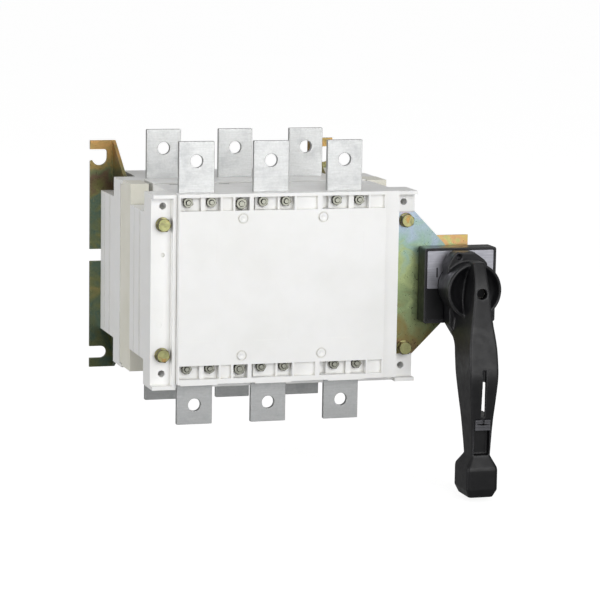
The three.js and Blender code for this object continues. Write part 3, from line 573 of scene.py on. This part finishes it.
def sheet(name, loops, thickness, rounding):
    """A flat plate from closed outlines drawn in x and z (holes included), its front face at y = 0.

    Outlines are filled as a flat curve, which rounds both rims of every edge."""
    curve = bpy.data.curves.new(name, "CURVE")
    curve.dimensions = "2D"
    curve.fill_mode = "BOTH"
    curve.extrude = (thickness / 2 - rounding) * MM
    curve.bevel_depth = rounding * MM
    curve.bevel_resolution = 2
    curve.offset = -rounding * MM
    for loop in loops:
        spline = curve.splines.new("POLY")
        spline.points.add(len(loop) - 1)
        spline.use_cyclic_u = True
        for point, (u, v) in zip(spline.points, loop):
            point.co = (u * MM, v * MM, 0, 1)
    holder = new_object(name, curve)
    graph = bpy.context.evaluated_depsgraph_get()
    graph.update()
    mesh = bpy.data.meshes.new_from_object(holder.evaluated_get(graph))
    bpy.data.objects.remove(holder)
    bpy.data.curves.remove(curve)
    mesh.transform(Matrix.Rotation(math.radians(90), 4, "X"))
    mesh.transform(Matrix.Translation((0, thickness / 2 * MM, 0)))
    tidy_mesh(mesh, flat=0.05)
    return shade(new_object(name, mesh), 40)


def weighted(piece):
    """Weights a piece's normals by face area, so that its large flat faces shade flat."""
    weights = piece.modifiers.new("weights", "WEIGHTED_NORMAL")
    weights.keep_sharp = True
    return applied(piece)


def arc(cx, cz, radius, start, end, steps=12):
    """Points along an arc, angles in degrees."""
    turns = [math.radians(start + (end - start) * i / steps) for i in range(steps + 1)]
    return [(cx + radius * math.cos(t), cz + radius * math.sin(t)) for t in turns]


def circle(cx, cz, radius, steps=48):
    """Points round a circle."""
    return arc(cx, cz, radius, 0, 360, steps)[:-1]


def refined(node, material, width, cutters=()):
    """A finished copy of a CAD node: flat faces cleaned, extra details cut in, edges rounded to width."""
    piece = new_object(node + "_finish", NODES[node].data.copy())
    tidy_mesh(piece.data)
    carve(piece, cutters)
    tidy_mesh(piece.data)
    round_edges(piece, width)
    return dress(piece, material, BODY_OF[node], node)


# ------------------------------------------------------------------ mouldings
LABEL_ROWS = ((20.0, 43.4), (-47.0, -23.5))  # bottoms and tops of the label panels
LABEL_LEFT = (-82.0, -18.0, 47.0)  # from the middle pole
LABEL_WIDTH = 31.0
LABEL_DEPTH = 0.15
BUTTON = 0.9  # height of the round buttons on the cover
BUTTON_X = (-28.5, 41.8)  # from the middle pole
BUTTON_Z = (56.7, -59.8)


def cover_details(front):
    """Shallow label panels, one above and one below the middle of each pole, and the buttons' rings.

    front is the cover's flat front; a button has a groove round it and a shallow dish in its face."""
    cuts = []
    for z0, z1 in LABEL_ROWS:
        for left in LABEL_LEFT:
            x = POLE_X + left
            cuts.append(block(x, x + LABEL_WIDTH, front - 1, front + LABEL_DEPTH, z0, z1))
    groove = [(3.3, front - 0.05), (4.5, front - 0.05), (4.5, front + 0.7), (3.3, front + 0.7)]
    dish = [(0, front - 2), (2.2, front - 2), (2.2, front - BUTTON), (1.6, front - 0.5), (0, front - 0.4)]
    for x in BUTTON_X:
        for z in BUTTON_Z:
            cuts.append(moved(ring(groove), POLE_X + x, 0, z))
            cuts.append(moved(lathe(dish, 32), POLE_X + x, 0, z))
    return cuts


MODULE_BODY = {"bottom": -67.0, "top": 59.0, "depth": 51.7}  # the part of a base behind its flange
SEAM = {"width": 1.2, "depth": 0.8, "behind_flange": (14, 17, 36)}  # grooves down the left side
TOP_SEAM = {"left": -83, "right": 112, "behind_flange": 24, "width": 0.8, "depth": 0.6}
FLANGE_DEPTH = 25.0
FLANGE_REST = 0.3  # the flange's front is this far behind the terminals' front
FLANGE_MARKS = ((-93.7, 25.2, 1.8, 1.6), (-96.5, -34.1, 2.4, 0.4))  # x from the middle pole, z, radius, depth
VENTS = (-70.8, -26.7)  # left ends of short openings in the front module's top, from the middle pole
# the last entry is how far below the top the dark fills of painted shade sit
VENT = {"width": 10.0, "front": 7.0, "back": 1.5, "depth": 3.4, "fill_drop": 0.4}


def base_details(node):
    """Seams down a base's left side and across its top, and moulding marks on its left flange."""
    low, high = box_mm(node)
    flange_back = high.y - MODULE_BODY["depth"]
    cuts = []
    bottom, top = MODULE_BODY["bottom"] - 1, MODULE_BODY["top"] + 1
    for y in SEAM["behind_flange"]:
        y0 = flange_back + y
        cuts.append(block(low.x - 1, low.x + SEAM["depth"], y0, y0 + SEAM["width"], bottom, top))
    x0, x1 = POLE_X + TOP_SEAM["left"], POLE_X + TOP_SEAM["right"]
    y0 = flange_back + TOP_SEAM["behind_flange"]
    cuts.append(block(x0, x1, y0, y0 + TOP_SEAM["width"], high.z - TOP_SEAM["depth"], high.z + 1))
    flange = flange_back - FLANGE_DEPTH
    for left, z, radius, depth in FLANGE_MARKS:
        end = FLANGE_REST + depth
        mark = lathe([(0, -1), (radius, -1), (radius, end), (0, end)], 24)
        cuts.append(moved(mark, POLE_X + left, flange, z))
    return cuts


def vent(left, depth, top_gap):
    """The room of one of the openings in the front module's top, from its floor up to top_gap above."""
    high = box_mm("front_module_base")[1]
    x = POLE_X + left
    y0, y1 = high.y - VENT["front"], high.y - VENT["back"]
    return block(x, x + VENT["width"], y0, y1, high.z - depth, high.z + top_gap)


def vent_shade_fills():
    """Painted shade: dark fills in the openings, a little below the top, where shade falls."""
    painted_shade_fill = merged([vent(left, VENT["depth"], -VENT["fill_drop"]) for left in VENTS])
    piece = new_object("vent_shade_fills", mesh_from(painted_shade_fill, "vent_shade_fills"))
    dress(shade(piece), "ink_and_painted_shade", BODY_OF["front_module_base"])


def mouldings():
    """Covers, bases and spacers."""
    front = box_mm("front_module_cover")[0].y + BUTTON
    refined("front_module_cover", "white_moulding", 0.5, cover_details(front))
    refined("rear_module_cover", "white_moulding", 0.5)
    for word in ("front", "rear"):
        node = f"{word}_module_base"
        vents = [vent(left, VENT["depth"], 1) for left in VENTS] if word == "front" else []
        refined(node, "white_moulding", 0.6, base_details(node) + vents)
    # painted shade: dark fills in the openings of the front module's top
    vent_shade_fills()
    for side in ("left", "right"):
        refined(f"{side}_spacer", "cream_moulding", 0.7)


# ------------------------------------------------------------------ metal bars, rails and plates
# Of a terminal bar, in millimetres; heights are counted from the module's middle.
BAR = {"hole_from_tip": 16.6, "hole_r": 5.5, "corner": 0.6, "shoulder": 47.0, "rounding": 0.4}
CLAMP_HOLE = {"x": 10, "z": 70.4, "r": 2.8}  # clearance for the clamp screws, each side of a bar's middle
TONGUE = {"inner": 9.4, "outer": 15.4, "end": 30, "root": 48}  # a bar's fixed contact


def terminal(node):
    """A terminal bar with square corners and a de-burred hole, on the CAD bar's place."""
    low, high = box_mm(node)
    up = 1 if high.z > 0 else -1
    tip = max(abs(low.z), abs(high.z))
    centre = (low.x + high.x) / 2
    half = (high.x - low.x) / 2
    r, shoulder = BAR["corner"], BAR["shoulder"]
    outline = [(-half, shoulder), (-half, tip - r), *arc(-half + r, tip - r, r, 180, 90, 6)]
    outline += [*arc(half - r, tip - r, r, 90, 0, 6), (half, shoulder)]
    holes = [circle(0, tip - BAR["hole_from_tip"], BAR["hole_r"])]
    for side in (-1, 1):
        holes.append(circle(side * CLAMP_HOLE["x"], CLAMP_HOLE["z"], CLAMP_HOLE["r"], 20))
    loops = [[(x, up * z) for x, z in loop] for loop in (outline, *holes)]
    piece = sheet(node + "_finish", loops, high.y - low.y, BAR["rounding"])
    piece.data.transform(Matrix.Translation(Vector((centre, low.y, 0)) * MM))
    ends = sorted((up * TONGUE["end"], up * TONGUE["root"]))
    tongue = block(centre + TONGUE["inner"], centre + TONGUE["outer"], low.y, high.y, *ends)
    carve(piece, [tongue], "UNION")
    shade(piece, 60)
    weighted(piece)
    return dress(piece, "tinned_bar", BODY_OF[node], node)


def terminals():
    """All twelve terminal bars."""
    for node in NODES:
        if "_terminal_" in node:
            terminal(node)


def rail(side):
    """A mounting rail. Its slots make its faces concave, so they are split into triangles before shading."""
    node = f"{side}_mounting_rail"
    piece = new_object(node + "_finish", NODES[node].data.copy())
    split_faces = piece.modifiers.new("split", "TRIANGULATE")
    split_faces.min_vertices = 4
    applied(piece)
    shade(piece, 30)
    return dress(piece, "yellow_zinc", BODY_OF[node], node)


def metalwork():
    """Rails and their screws, the front plate, the drive and the contacts."""
    for side in ("left", "right"):
        rail(side)
        for i in (1, 2):
            refined(f"{side}_rail_screw_{i}", "fastener_steel", 0.25)
    refined("mechanism_plate", "front_plate_zinc", 0.35)
    refined("drive_frame", "frame_zinc", 0.5)
    refined("rocker", "mechanism_steel", 0.4)
    refined("rocker_pin", "mechanism_steel", 0.4)
    refined("crankshaft", "mechanism_steel", 0.4)
    for word in ("front", "rear"):
        refined(f"{word}_contact_carriage", "carriage_moulding", 0.5)
        for i in (1, 2, 3):
            refined(f"{word}_moving_contact_{i}", "contact_copper", 0.4)


# ------------------------------------------------------------------ fasteners
FACET_ANGLE = 20  # edges sharper than this stay crisp on bolt heads, in degrees
CROWN = 0.96  # radius of a hexagon head's flat front, as a share of half its width across flats
CHAMFER = 28  # slope of the cone that cuts the front corners, in degrees
STANDS = {"clamp": 4.4, "cover": 4.0, "tie": 6.7}  # from a screw's seat to the front of its CAD node


def hex_head(across, height, seat):
    """A hexagon head towards -y from its seat, its front corners chamfered by a cone as on a real bolt."""
    flat = across / 2
    crown = flat * CROWN
    slope = math.tan(math.radians(CHAMFER))
    front = seat - height
    side_turn = math.pi / 3  # the turn that one of the six sides takes up
    bm = bmesh.new()
    centre = bm.verts.new((0, front * MM, 0))
    rings = [[], [], []]
    for turn in full_turn(72):
        corner = flat / math.cos((turn + side_turn / 2) % side_turn - side_turn / 2)
        edge = front + (corner - crown) * slope
        for row, radius, y in zip(rings, (crown, corner, corner), (front, edge, seat)):
            row.append(turned_point(bm, radius, y, math.pi / 2 - turn))
    join_rings(bm, [centre], rings[0])
    join_rings(bm, rings[0], rings[1])
    join_rings(bm, rings[1], rings[2])
    bm.faces.new(rings[2])
    bmesh.ops.recalc_face_normals(bm, faces=bm.faces)
    return bm


def threaded(radius, start, end, pitch=0.8):
    """A screw end: a bar with thread-like ridges from y = start to y = end and a chamfered tip."""
    root = radius - 0.28
    tip = 0.3
    profile = [(0, start), (root - tip, start), (root, start + tip)]
    y = start + tip
    while y + pitch < end:
        profile += [(radius, y + pitch / 2), (root, y + pitch)]
        y += pitch
    profile += [(root, end), (0, end)]
    return lathe(profile, 28)


def shank(radius, seat, end, sides=24):
    """A plain round bar behind a head's seat."""
    return lathe([(0, seat - 1), (radius, seat - 1), (radius, end), (0, end)], sides)


def washer(radius, start, end):
    """A round washer, closed in the middle where its bolt runs, with slightly broken rims."""
    rim = 0.2
    flank = [(radius - rim, start), (radius, start + rim), (radius, end - rim), (radius - rim, end)]
    return lathe([(0, start), *flank, (0, end)], 56)


def fastener(node, solids, material):
    """Puts a bolt's shells, drawn about the Y axis, on its CAD node, at a turn of its own."""
    centre = middle_mm(node)
    turn = Matrix.Rotation(math.radians(random.uniform(0, 60)), 4, "Y")
    whole = merged(solids)
    bmesh.ops.transform(whole, matrix=turn, verts=whole.verts)
    whole = moved(whole, centre.x, 0, centre.z)
    piece = shade(new_object(node + "_finish", mesh_from(whole, node)), FACET_ANGLE)
    dress(piece, material, BODY_OF[node], node)


def clamp_screws():
    """Studs with a nut and washer, in the pockets of the front cover."""
    for word in ("top", "bottom"):
        for i in range(1, 7):
            node = f"{word}_clamp_screw_{i}"
            low, high = box_mm(node)
            seat = low.y + STANDS["clamp"]
            solids = [
                washer(4.2, seat - 0.7, seat),
                hex_head(8.0, 3.0, seat - 0.65),
                threaded(2.3, seat - 4.9, seat - 2.5),
                shank(2.4, seat, high.y),
            ]
            fastener(node, solids, "fastener_steel")


def cover_bolts():
    """The two larger studs and nuts that hold the front cover."""
    for word in ("top", "bottom"):
        node = f"{word}_cover_bolt"
        low, high = box_mm(node)
        seat = low.y + STANDS["cover"]
        solids = [
            washer(4.7, seat - 0.6, seat),
            hex_head(9.0, 3.3, seat - 0.5),
            threaded(2.7, seat - 4.6, seat - 3.0, pitch=0.9),
            shank(2.9, seat, high.y),
        ]
        fastener(node, solids, "fastener_steel")


def tie_bolts():
    """The four long bolts through both modules, with a collar under the head."""
    for side in ("left", "right"):
        for end in ("top", "bottom"):
            node = f"{side}_{end}_tie_bolt"
            low, high = box_mm(node)
            seat = low.y + STANDS["tie"]
            solids = [
                washer(6.2, seat - 1.3, seat),
                hex_head(10.5, 5.4, seat - 1.3),
                lathe([(0, seat - 1), (4, seat - 1), (4, high.y - 1), (3.2, high.y), (0, high.y)], 32),
            ]
            fastener(node, solids, "zinc_fastener")


# ------------------------------------------------------------------ handle
# Points of the handle are counted from its axis in x and z, and from the terminal plane in depth.
PIVOT = Vector(JOINTS["handle_turn"]["pos_m"]) / MM
PLANE = box_mm("front_top_terminal_1")[0].y
MARK = {"thick": 0.12, "rounding": 0.03, "proud": 0.11}  # of the dial's printed marks


def surround_and_dial():
    """The square surround and its silver label with the marks 0, I and II."""
    refined("handle_surround", "black_plastic", 0.8)
    refined("dial_plate", "dial_silver", 0.12)
    face = box_mm("dial_plate")[0].y
    marks = {
        "dial_mark_off": [ring_mark(0, 26.5, 1.7, 2.5)],
        "dial_mark_one": [bar_mark(-21.2)],
        "dial_mark_two": [bar_mark(21.0), bar_mark(24.2)],
    }
    for name, shapes in marks.items():
        solids = []
        for loops in shapes:
            plate = sheet(name, loops, MARK["thick"], MARK["rounding"])
            bm = bmesh.new()
            bm.from_mesh(plate.data)
            bpy.data.objects.remove(plate)
            solids.append(bm)
        whole = moved(merged(solids), PIVOT.x, face - MARK["proud"], PIVOT.z)
        dress(shade(new_object(name, mesh_from(whole, name))), "ink_and_painted_shade", "switch_body")


def bar_mark(x, z=11.4, width=1.4, height=8.4):
    """The figure I as an upright bar."""
    x0, x1 = x - width / 2, x + width / 2
    z0, z1 = z - height / 2, z + height / 2
    return [[(x0, z0), (x1, z0), (x1, z1), (x0, z1)]]


def ring_mark(x, z, half_width, half_height):
    """The figure 0 as an oval ring."""
    line = 0.75

    def oval(inset):
        a, b = half_width - inset, half_height - inset
        return [(x + a * math.cos(t), z + b * math.sin(t)) for t in full_turn(40)]

    return [oval(0), oval(line)]


def arm_section(z, front, back, half, corner):
    """A rounded rectangle in x and y at height z."""
    points = []
    for sx, sy, start in ((1, -1, -90), (1, 1, 0), (-1, 1, 90), (-1, -1, 180)):
        cx = sx * (half - corner)
        cy = (front + corner) if sy < 0 else (back - corner)
        for x, y in arc(cx, cy, corner, start, start + 90, 5):
            points.append((x, y, z))
    return points


def smooth_stations(stations, steps=6):
    """Points between the given stations of a loft, by a Catmull-Rom curve through each quantity."""
    result = []
    last = len(stations) - 1
    for i in range(last):
        four = [stations[max(i - 1, 0)], stations[i], stations[i + 1], stations[min(i + 2, last)]]
        for k in range(steps):
            result.append([catmull(*quantity, k / steps) for quantity in zip(*four)])
    return result + [list(stations[-1])]


def catmull(a, b, c, d, t):
    """A point between b and c at share t of the way, on a smooth curve through all four."""
    square = 2 * a - 5 * b + 4 * c - d
    cube = 3 * b - 3 * c + d - a
    return 0.5 * (2 * b + (c - a) * t + square * t * t + cube * t**3)


# Stations of the arm and of the knob at its end: height, front and back depth, half width, corner radius.
ARM = [
    (25.5, -66.0, -50.0, 5.0, 1.0),
    (13.0, -71.5, -45.0, 5.6, 1.0),
    (0.0, -75.0, -38.0, 6.9, 1.0),
    (-14.0, -76.6, -30.0, 8.2, 1.1),
    (-26.0, -78.0, -24.0, 9.8, 1.2),
    (-36.0, -80.0, -27.0, 11.3, 1.3),
    (-46.0, -82.0, -41.0, 12.4, 1.4),
    (-58.0, -84.0, -45.0, 12.9, 1.5),
    (-71.0, -85.8, -47.0, 12.6, 1.5),
    (-90.0, -84.6, -50.8, 11.2, 1.5),
    (-110.0, -82.9, -55.0, 9.6, 1.5),
    (-138.0, -82.2, -60.0, 8.2, 2.0),
]
FOOT = [
    (-133.5, -81.8, -61.0, 7.9, 2.0),
    (-137.0, -82.0, -61.0, 8.4, 2.2),
    (-146.5, -86.4, -53.6, 13.4, 2.6),
    (-149.0, -87.0, -53.0, 13.8, 2.8),
    (-166.0, -87.0, -53.0, 13.8, 2.8),
    (-172.8, -84.0, -56.0, 10.8, 2.8),
]
# The hub with its dished front, as (radius, depth) points.
HUB_PROFILE = [
    (0, -21.2), (20.6, -21.2), (21.4, -26), (22.0, -34), (23.4, -50), (24.2, -55.5), (23.6, -57.4),
    (21.8, -57.2), (18.5, -53.5), (12, -50.2), (6, -49.2), (0, -49),
]
# Outlines in x and z of the nose over the dial and of the web that runs from the hub into the arm.
NOSE = [
    (-19.5, 2), (19.5, 2), (17.5, 21), (14.5, 24.5), (5.5, 30.8), (-10.4, 31.0), (-14.2, 27.5), (-18.0, 20),
]
WEB_EDGE = [(15.5, -10), (15, -31.5), (10, -39.5), (5.2, -46.7)]
WEB = [(-15.5, -10), *WEB_EDGE, *[(-x, z) for x, z in WEB_EDGE[:0:-1]]]
NOSE_DEPTHS = (-39, -25)
WEB_DEPTHS = (-37, -23)
SKIRT = {"radius": 20.5, "drop": 15.5, "taper": 0.38}
SKIRT_STATIONS = [(-22.0, -0.6), (-23.0, 0.4), (-36.0, 0.2), (-46.0, -2.5)]  # depth, added radius
# The slot: its height, its narrow front from "front" to "neck", and its wide rear from "flare" to "back".
SLOT = {"top": -73.5, "bottom": -103.5, "half": 1.6, "left": -4.0, "right": 15.5}
SLOT_DEPTHS = {"front": -95, "neck": -82.0, "flare": -50, "back": -40}
SKIN = {"rough": 0.7, "fine": 0.55}  # grain of the handle's skin, before and after its holes are cut


def skirt_section(y, grow):
    """Outline of the handle's skirt next to the dial: round, drawn down into the root of the arm."""
    radius = SKIRT["radius"] + grow
    points = []
    for t in full_turn(48):
        x = radius * math.sin(t)
        z = radius * math.cos(t)
        if z < 0:
            drop = (-math.cos(t)) ** 2
            z -= drop * SKIRT["drop"]
            x *= 1 - SKIRT["taper"] * drop
        points.append((x, y, z))
    return points


def handle_solids():
    """The overlapping shells that make up the handle, placed on its axis."""
    nose = loft([[(x, y, z) for x, z in NOSE] for y in NOSE_DEPTHS])
    skirt = loft([skirt_section(*s) for s in SKIRT_STATIONS])
    web = loft([[(x, y, z) for x, z in WEB] for y in WEB_DEPTHS])
    arm = loft([arm_section(*s) for s in smooth_stations(ARM)])
    foot = loft([arm_section(*s) for s in FOOT])
    shells = merged([lathe(HUB_PROFILE, 96), nose, skirt, web, arm, foot])
    return moved(shells, PIVOT.x, PLANE, PIVOT.z)


def bore(radius, y0, y1, dx=0.0, dz=0.0):
    """A cutter for a round hole in the handle, from depth y0 to depth y1."""
    hole = lathe([(0, y0), (radius, y0), (radius, y1), (0, y1)], 40)
    return moved(hole, PIVOT.x + dx, PLANE, PIVOT.z + dz)


def pocket(half, y0, y1, z0, z1):
    """A cutter for a square recess in the arm, half to each side of its middle."""
    x, z = PIVOT.x, PIVOT.z
    return block(x - half, x + half, PLANE + y0, PLANE + y1, z + z0, z + z1)


def handle():
    """The handle, fused from its shells, with its holes cut and its edges softened."""
    piece = new_object("handle_finish", mesh_from(handle_solids(), "handle"))
    voxels(piece, SKIN["rough"])
    carve(piece, [
        bore(6.3, -49, -20),  # for the crankshaft
        bore(4.4, -80, -64),  # recess for the screw's head
        bore(2.3, -66, -40),  # for the screw
        bore(2.6, -45, -20, -8.3, 27.0),  # through the nose
        slot_cutter(),
        pocket(1.5, -95, -83.0, -74, -63.5),  # groove above the slot
        pocket(6.9, -95, -76.0, -136.5, -105.5),  # recess in which the lock slides
    ])
    voxels(piece, SKIN["fine"])
    relax(piece, 3)
    shade(piece, 70)
    return dress(piece, "black_plastic", "handle", "handle")


def slot_cutter():
    """The slot through the arm: narrow at the front, opening out through the arm's right-hand rear edge."""
    half, left, right = SLOT["half"], SLOT["left"], SLOT["right"]
    front, neck, flare, back = SLOT_DEPTHS.values()
    outline = [(-half, front), (half, front), (half, neck), (right, flare), (right, back)]
    outline += [(left, back), (left, flare), (-half, neck)]
    sections = []
    for height in (SLOT["bottom"], SLOT["top"]):
        sections.append([(PIVOT.x + u, PLANE + v, PIVOT.z + height) for u, v in outline])
    return loft(sections)


def voxels(piece, size):
    """Remeshes overlapping shells into one even skin."""
    modifier = piece.modifiers.new("skin", "REMESH")
    modifier.mode = "VOXEL"
    modifier.voxel_size = size * MM
    return applied(piece)


def relax(piece, turns):
    """Smooths a skin, which rounds its edges."""
    modifier = piece.modifiers.new("relax", "SMOOTH")
    modifier.iterations = turns
    modifier.factor = 0.5
    return applied(piece)


NOTCH = {"width": 2.8, "inward": 3, "down": 4}


def handle_fittings():
    """The handle's screw, and the lock with a notch in its upper edge."""
    refined("handle_screw", "blackened_steel", 0.2)
    low, high = box_mm("lock_slider")
    x = middle_mm("lock_slider").x
    half, inward, down = NOTCH["width"] / 2, NOTCH["inward"], NOTCH["down"]
    notch = block(x - half, x + half, low.y - 1, low.y + inward, high.z - down, high.z + 1)
    refined("lock_slider", "grey_plastic", 0.3, [notch])


# ------------------------------------------------------------------ stage
# What the floor sends into the object's reflections, from far in front of the object to close by.
FLOOR_RAMP = [(0.0, "#ececec"), (0.45, "#dcdcdc"), (0.8, "#a8a8a8"), (1.0, "#8a8a8a")]


def floor_material():
    """White paper. The camera sees it lit from all round with a faint shadow under the object; in the
    object's reflections it is greyer close by and brighter far away."""
    s = Shader("studio_paper")
    grain = s.noise(300, detail=2)
    s.set(base_color=s.mix(grain, "#f4f4f4", "#fbfbfb"), roughness=0.9)
    s.bump(s.noise(2), 0.02, 0.2)
    glow = s.add("ShaderNodeEmission")
    glow.inputs["Strength"].default_value = 0.86
    shadow = s.add("ShaderNodeMixShader")
    shadow.inputs[0].default_value = 0.35
    s.link(glow.outputs[0], shadow.inputs[1])
    s.link(s.bsdf.outputs[0], shadow.inputs[2])
    lift = s.add("ShaderNodeAddShader")
    base_glow = s.add("ShaderNodeEmission")
    base_glow.inputs["Strength"].default_value = 0.3
    s.link(shadow.outputs[0], lift.inputs[0])
    s.link(base_glow.outputs[0], lift.inputs[1])
    reflected = s.add("ShaderNodeEmission")
    s.link(s.ramp(s.along("Y", -2600, -250), FLOOR_RAMP), reflected.inputs["Color"])
    path = s.add("ShaderNodeLightPath")
    choose = s.add("ShaderNodeMixShader")
    s.link(path.outputs["Is Camera Ray"], choose.inputs[0])
    s.link(reflected.outputs[0], choose.inputs[1])
    s.link(lift.outputs[0], choose.inputs[2])
    s.link(choose.outputs[0], s.output.inputs["Surface"])
    return s.material


FLOOR_HALF = 40  # metres from its middle to its edges, far beyond the picture
FLOOR_DROP = 0.004  # metres below the object's lowest point


def stage():
    """The floor, which is no part of the object."""
    low = CAD_BOX[0]
    bm = bmesh.new()
    bmesh.ops.create_grid(bm, x_segments=1, y_segments=1, size=FLOOR_HALF)
    floor = new_object("floor", mesh_from(bm, "floor"))
    floor.location = (0, 0, low.z - FLOOR_DROP)
    floor.data.materials.append(floor_material())


def world_light():
    """White to the camera; to the object, a pale room that is brighter above than below."""
    world = bpy.data.worlds.new("studio")
    bpy.context.scene.world = world
    world.use_nodes = True
    tree = world.node_tree
    background = tree.nodes["Background"]
    out = tree.nodes["World Output"]
    coords = tree.nodes.new("ShaderNodeTexCoord")
    split = tree.nodes.new("ShaderNodeSeparateXYZ")
    ramp = tree.nodes.new("ShaderNodeValToRGB")
    ramp.color_ramp.elements[0].position = 0.35
    ramp.color_ramp.elements[0].color = (0.62, 0.62, 0.63, 1)
    ramp.color_ramp.elements[1].position = 0.75
    ramp.color_ramp.elements[1].color = (0.72, 0.72, 0.72, 1)
    half = tree.nodes.new("ShaderNodeMapRange")
    half.inputs["From Min"].default_value = -1
    half.inputs["From Max"].default_value = 1
    tree.links.new(coords.outputs["Generated"], split.inputs[0])
    tree.links.new(split.outputs["Z"], half.inputs["Value"])
    tree.links.new(half.outputs["Result"], ramp.inputs["Fac"])
    tree.links.new(ramp.outputs["Color"], background.inputs["Color"])
    background.inputs["Strength"].default_value = 0.55
    white = tree.nodes.new("ShaderNodeBackground")
    white.inputs["Strength"].default_value = 1.05
    path = tree.nodes.new("ShaderNodeLightPath")
    choose = tree.nodes.new("ShaderNodeMixShader")
    tree.links.new(path.outputs["Is Camera Ray"], choose.inputs[0])
    tree.links.new(background.outputs[0], choose.inputs[1])
    tree.links.new(white.outputs[0], choose.inputs[2])
    tree.links.new(choose.outputs[0], out.inputs["Surface"])


def softbox(name, place, target, size, power):
    """A rectangular area light at place, turned towards target; metres and watts."""
    light = bpy.data.lights.new(name, "AREA")
    light.shape = "RECTANGLE"
    light.size, light.size_y = size
    light.energy = power
    holder = bpy.data.objects.new(name, light)
    bpy.context.scene.collection.objects.link(holder)
    holder.location = place
    direction = Vector(target) - Vector(place)
    holder.rotation_euler = direction.to_track_quat("-Z", "Y").to_euler()


def lights():
    """A large soft light beside the camera, a weaker one from the left, and a faint one from above."""
    x = POLE_X * MM
    middle = (x + 0.02, -0.1, 0.0)
    softbox("key", (x + 0.35, -2.6, 0.75), middle, (1.8, 1.5), 39)
    softbox("left_fill", (x - 2.4, -0.7, 0.22), middle, (1.4, 0.75), 22)
    softbox("top", (x, 0.2, 1.9), middle, (1.6, 1.6), 4)


CAMERA_PLACE = Vector((-0.6326, -2.3739, 0.3292))  # from the middle pole, in metres
CAMERA_TURN = (16.85, 8.594, 0.917)  # to the right, downwards and about its own axis, in degrees


def camera():
    """The photographer's view: from the left and slightly above, with a long lens."""
    yaw, pitch, roll = CAMERA_TURN
    data = bpy.data.cameras.new("camera")
    data.lens = 162.0
    data.sensor_width = 36.0
    data.shift_x = -0.0006
    data.shift_y = -0.0027
    holder = bpy.data.objects.new("camera", data)
    bpy.context.scene.collection.objects.link(holder)
    turn = (
        Matrix.Rotation(math.radians(-yaw), 4, "Z")
        @ Matrix.Rotation(math.radians(90 - pitch), 4, "X")
        @ Matrix.Rotation(math.radians(roll), 4, "Z")
    )
    place = Vector((POLE_X * MM, 0.0, 0.0)) + CAMERA_PLACE
    holder.matrix_world = Matrix.Translation(place) @ turn
    data.clip_start = 0.1
    data.clip_end = 60
    bpy.context.scene.camera = holder


def picture_settings():
    """Plain colours, as in a product photograph."""
    scene = bpy.context.scene
    scene.view_settings.view_transform = "Standard"
    scene.view_settings.look = "None"


mouldings()
terminals()
metalwork()
clamp_screws()
cover_bolts()
tie_bolts()
surround_and_dial()
handle()
handle_fittings()
stage()
world_light()
lights()
camera()
picture_settings()
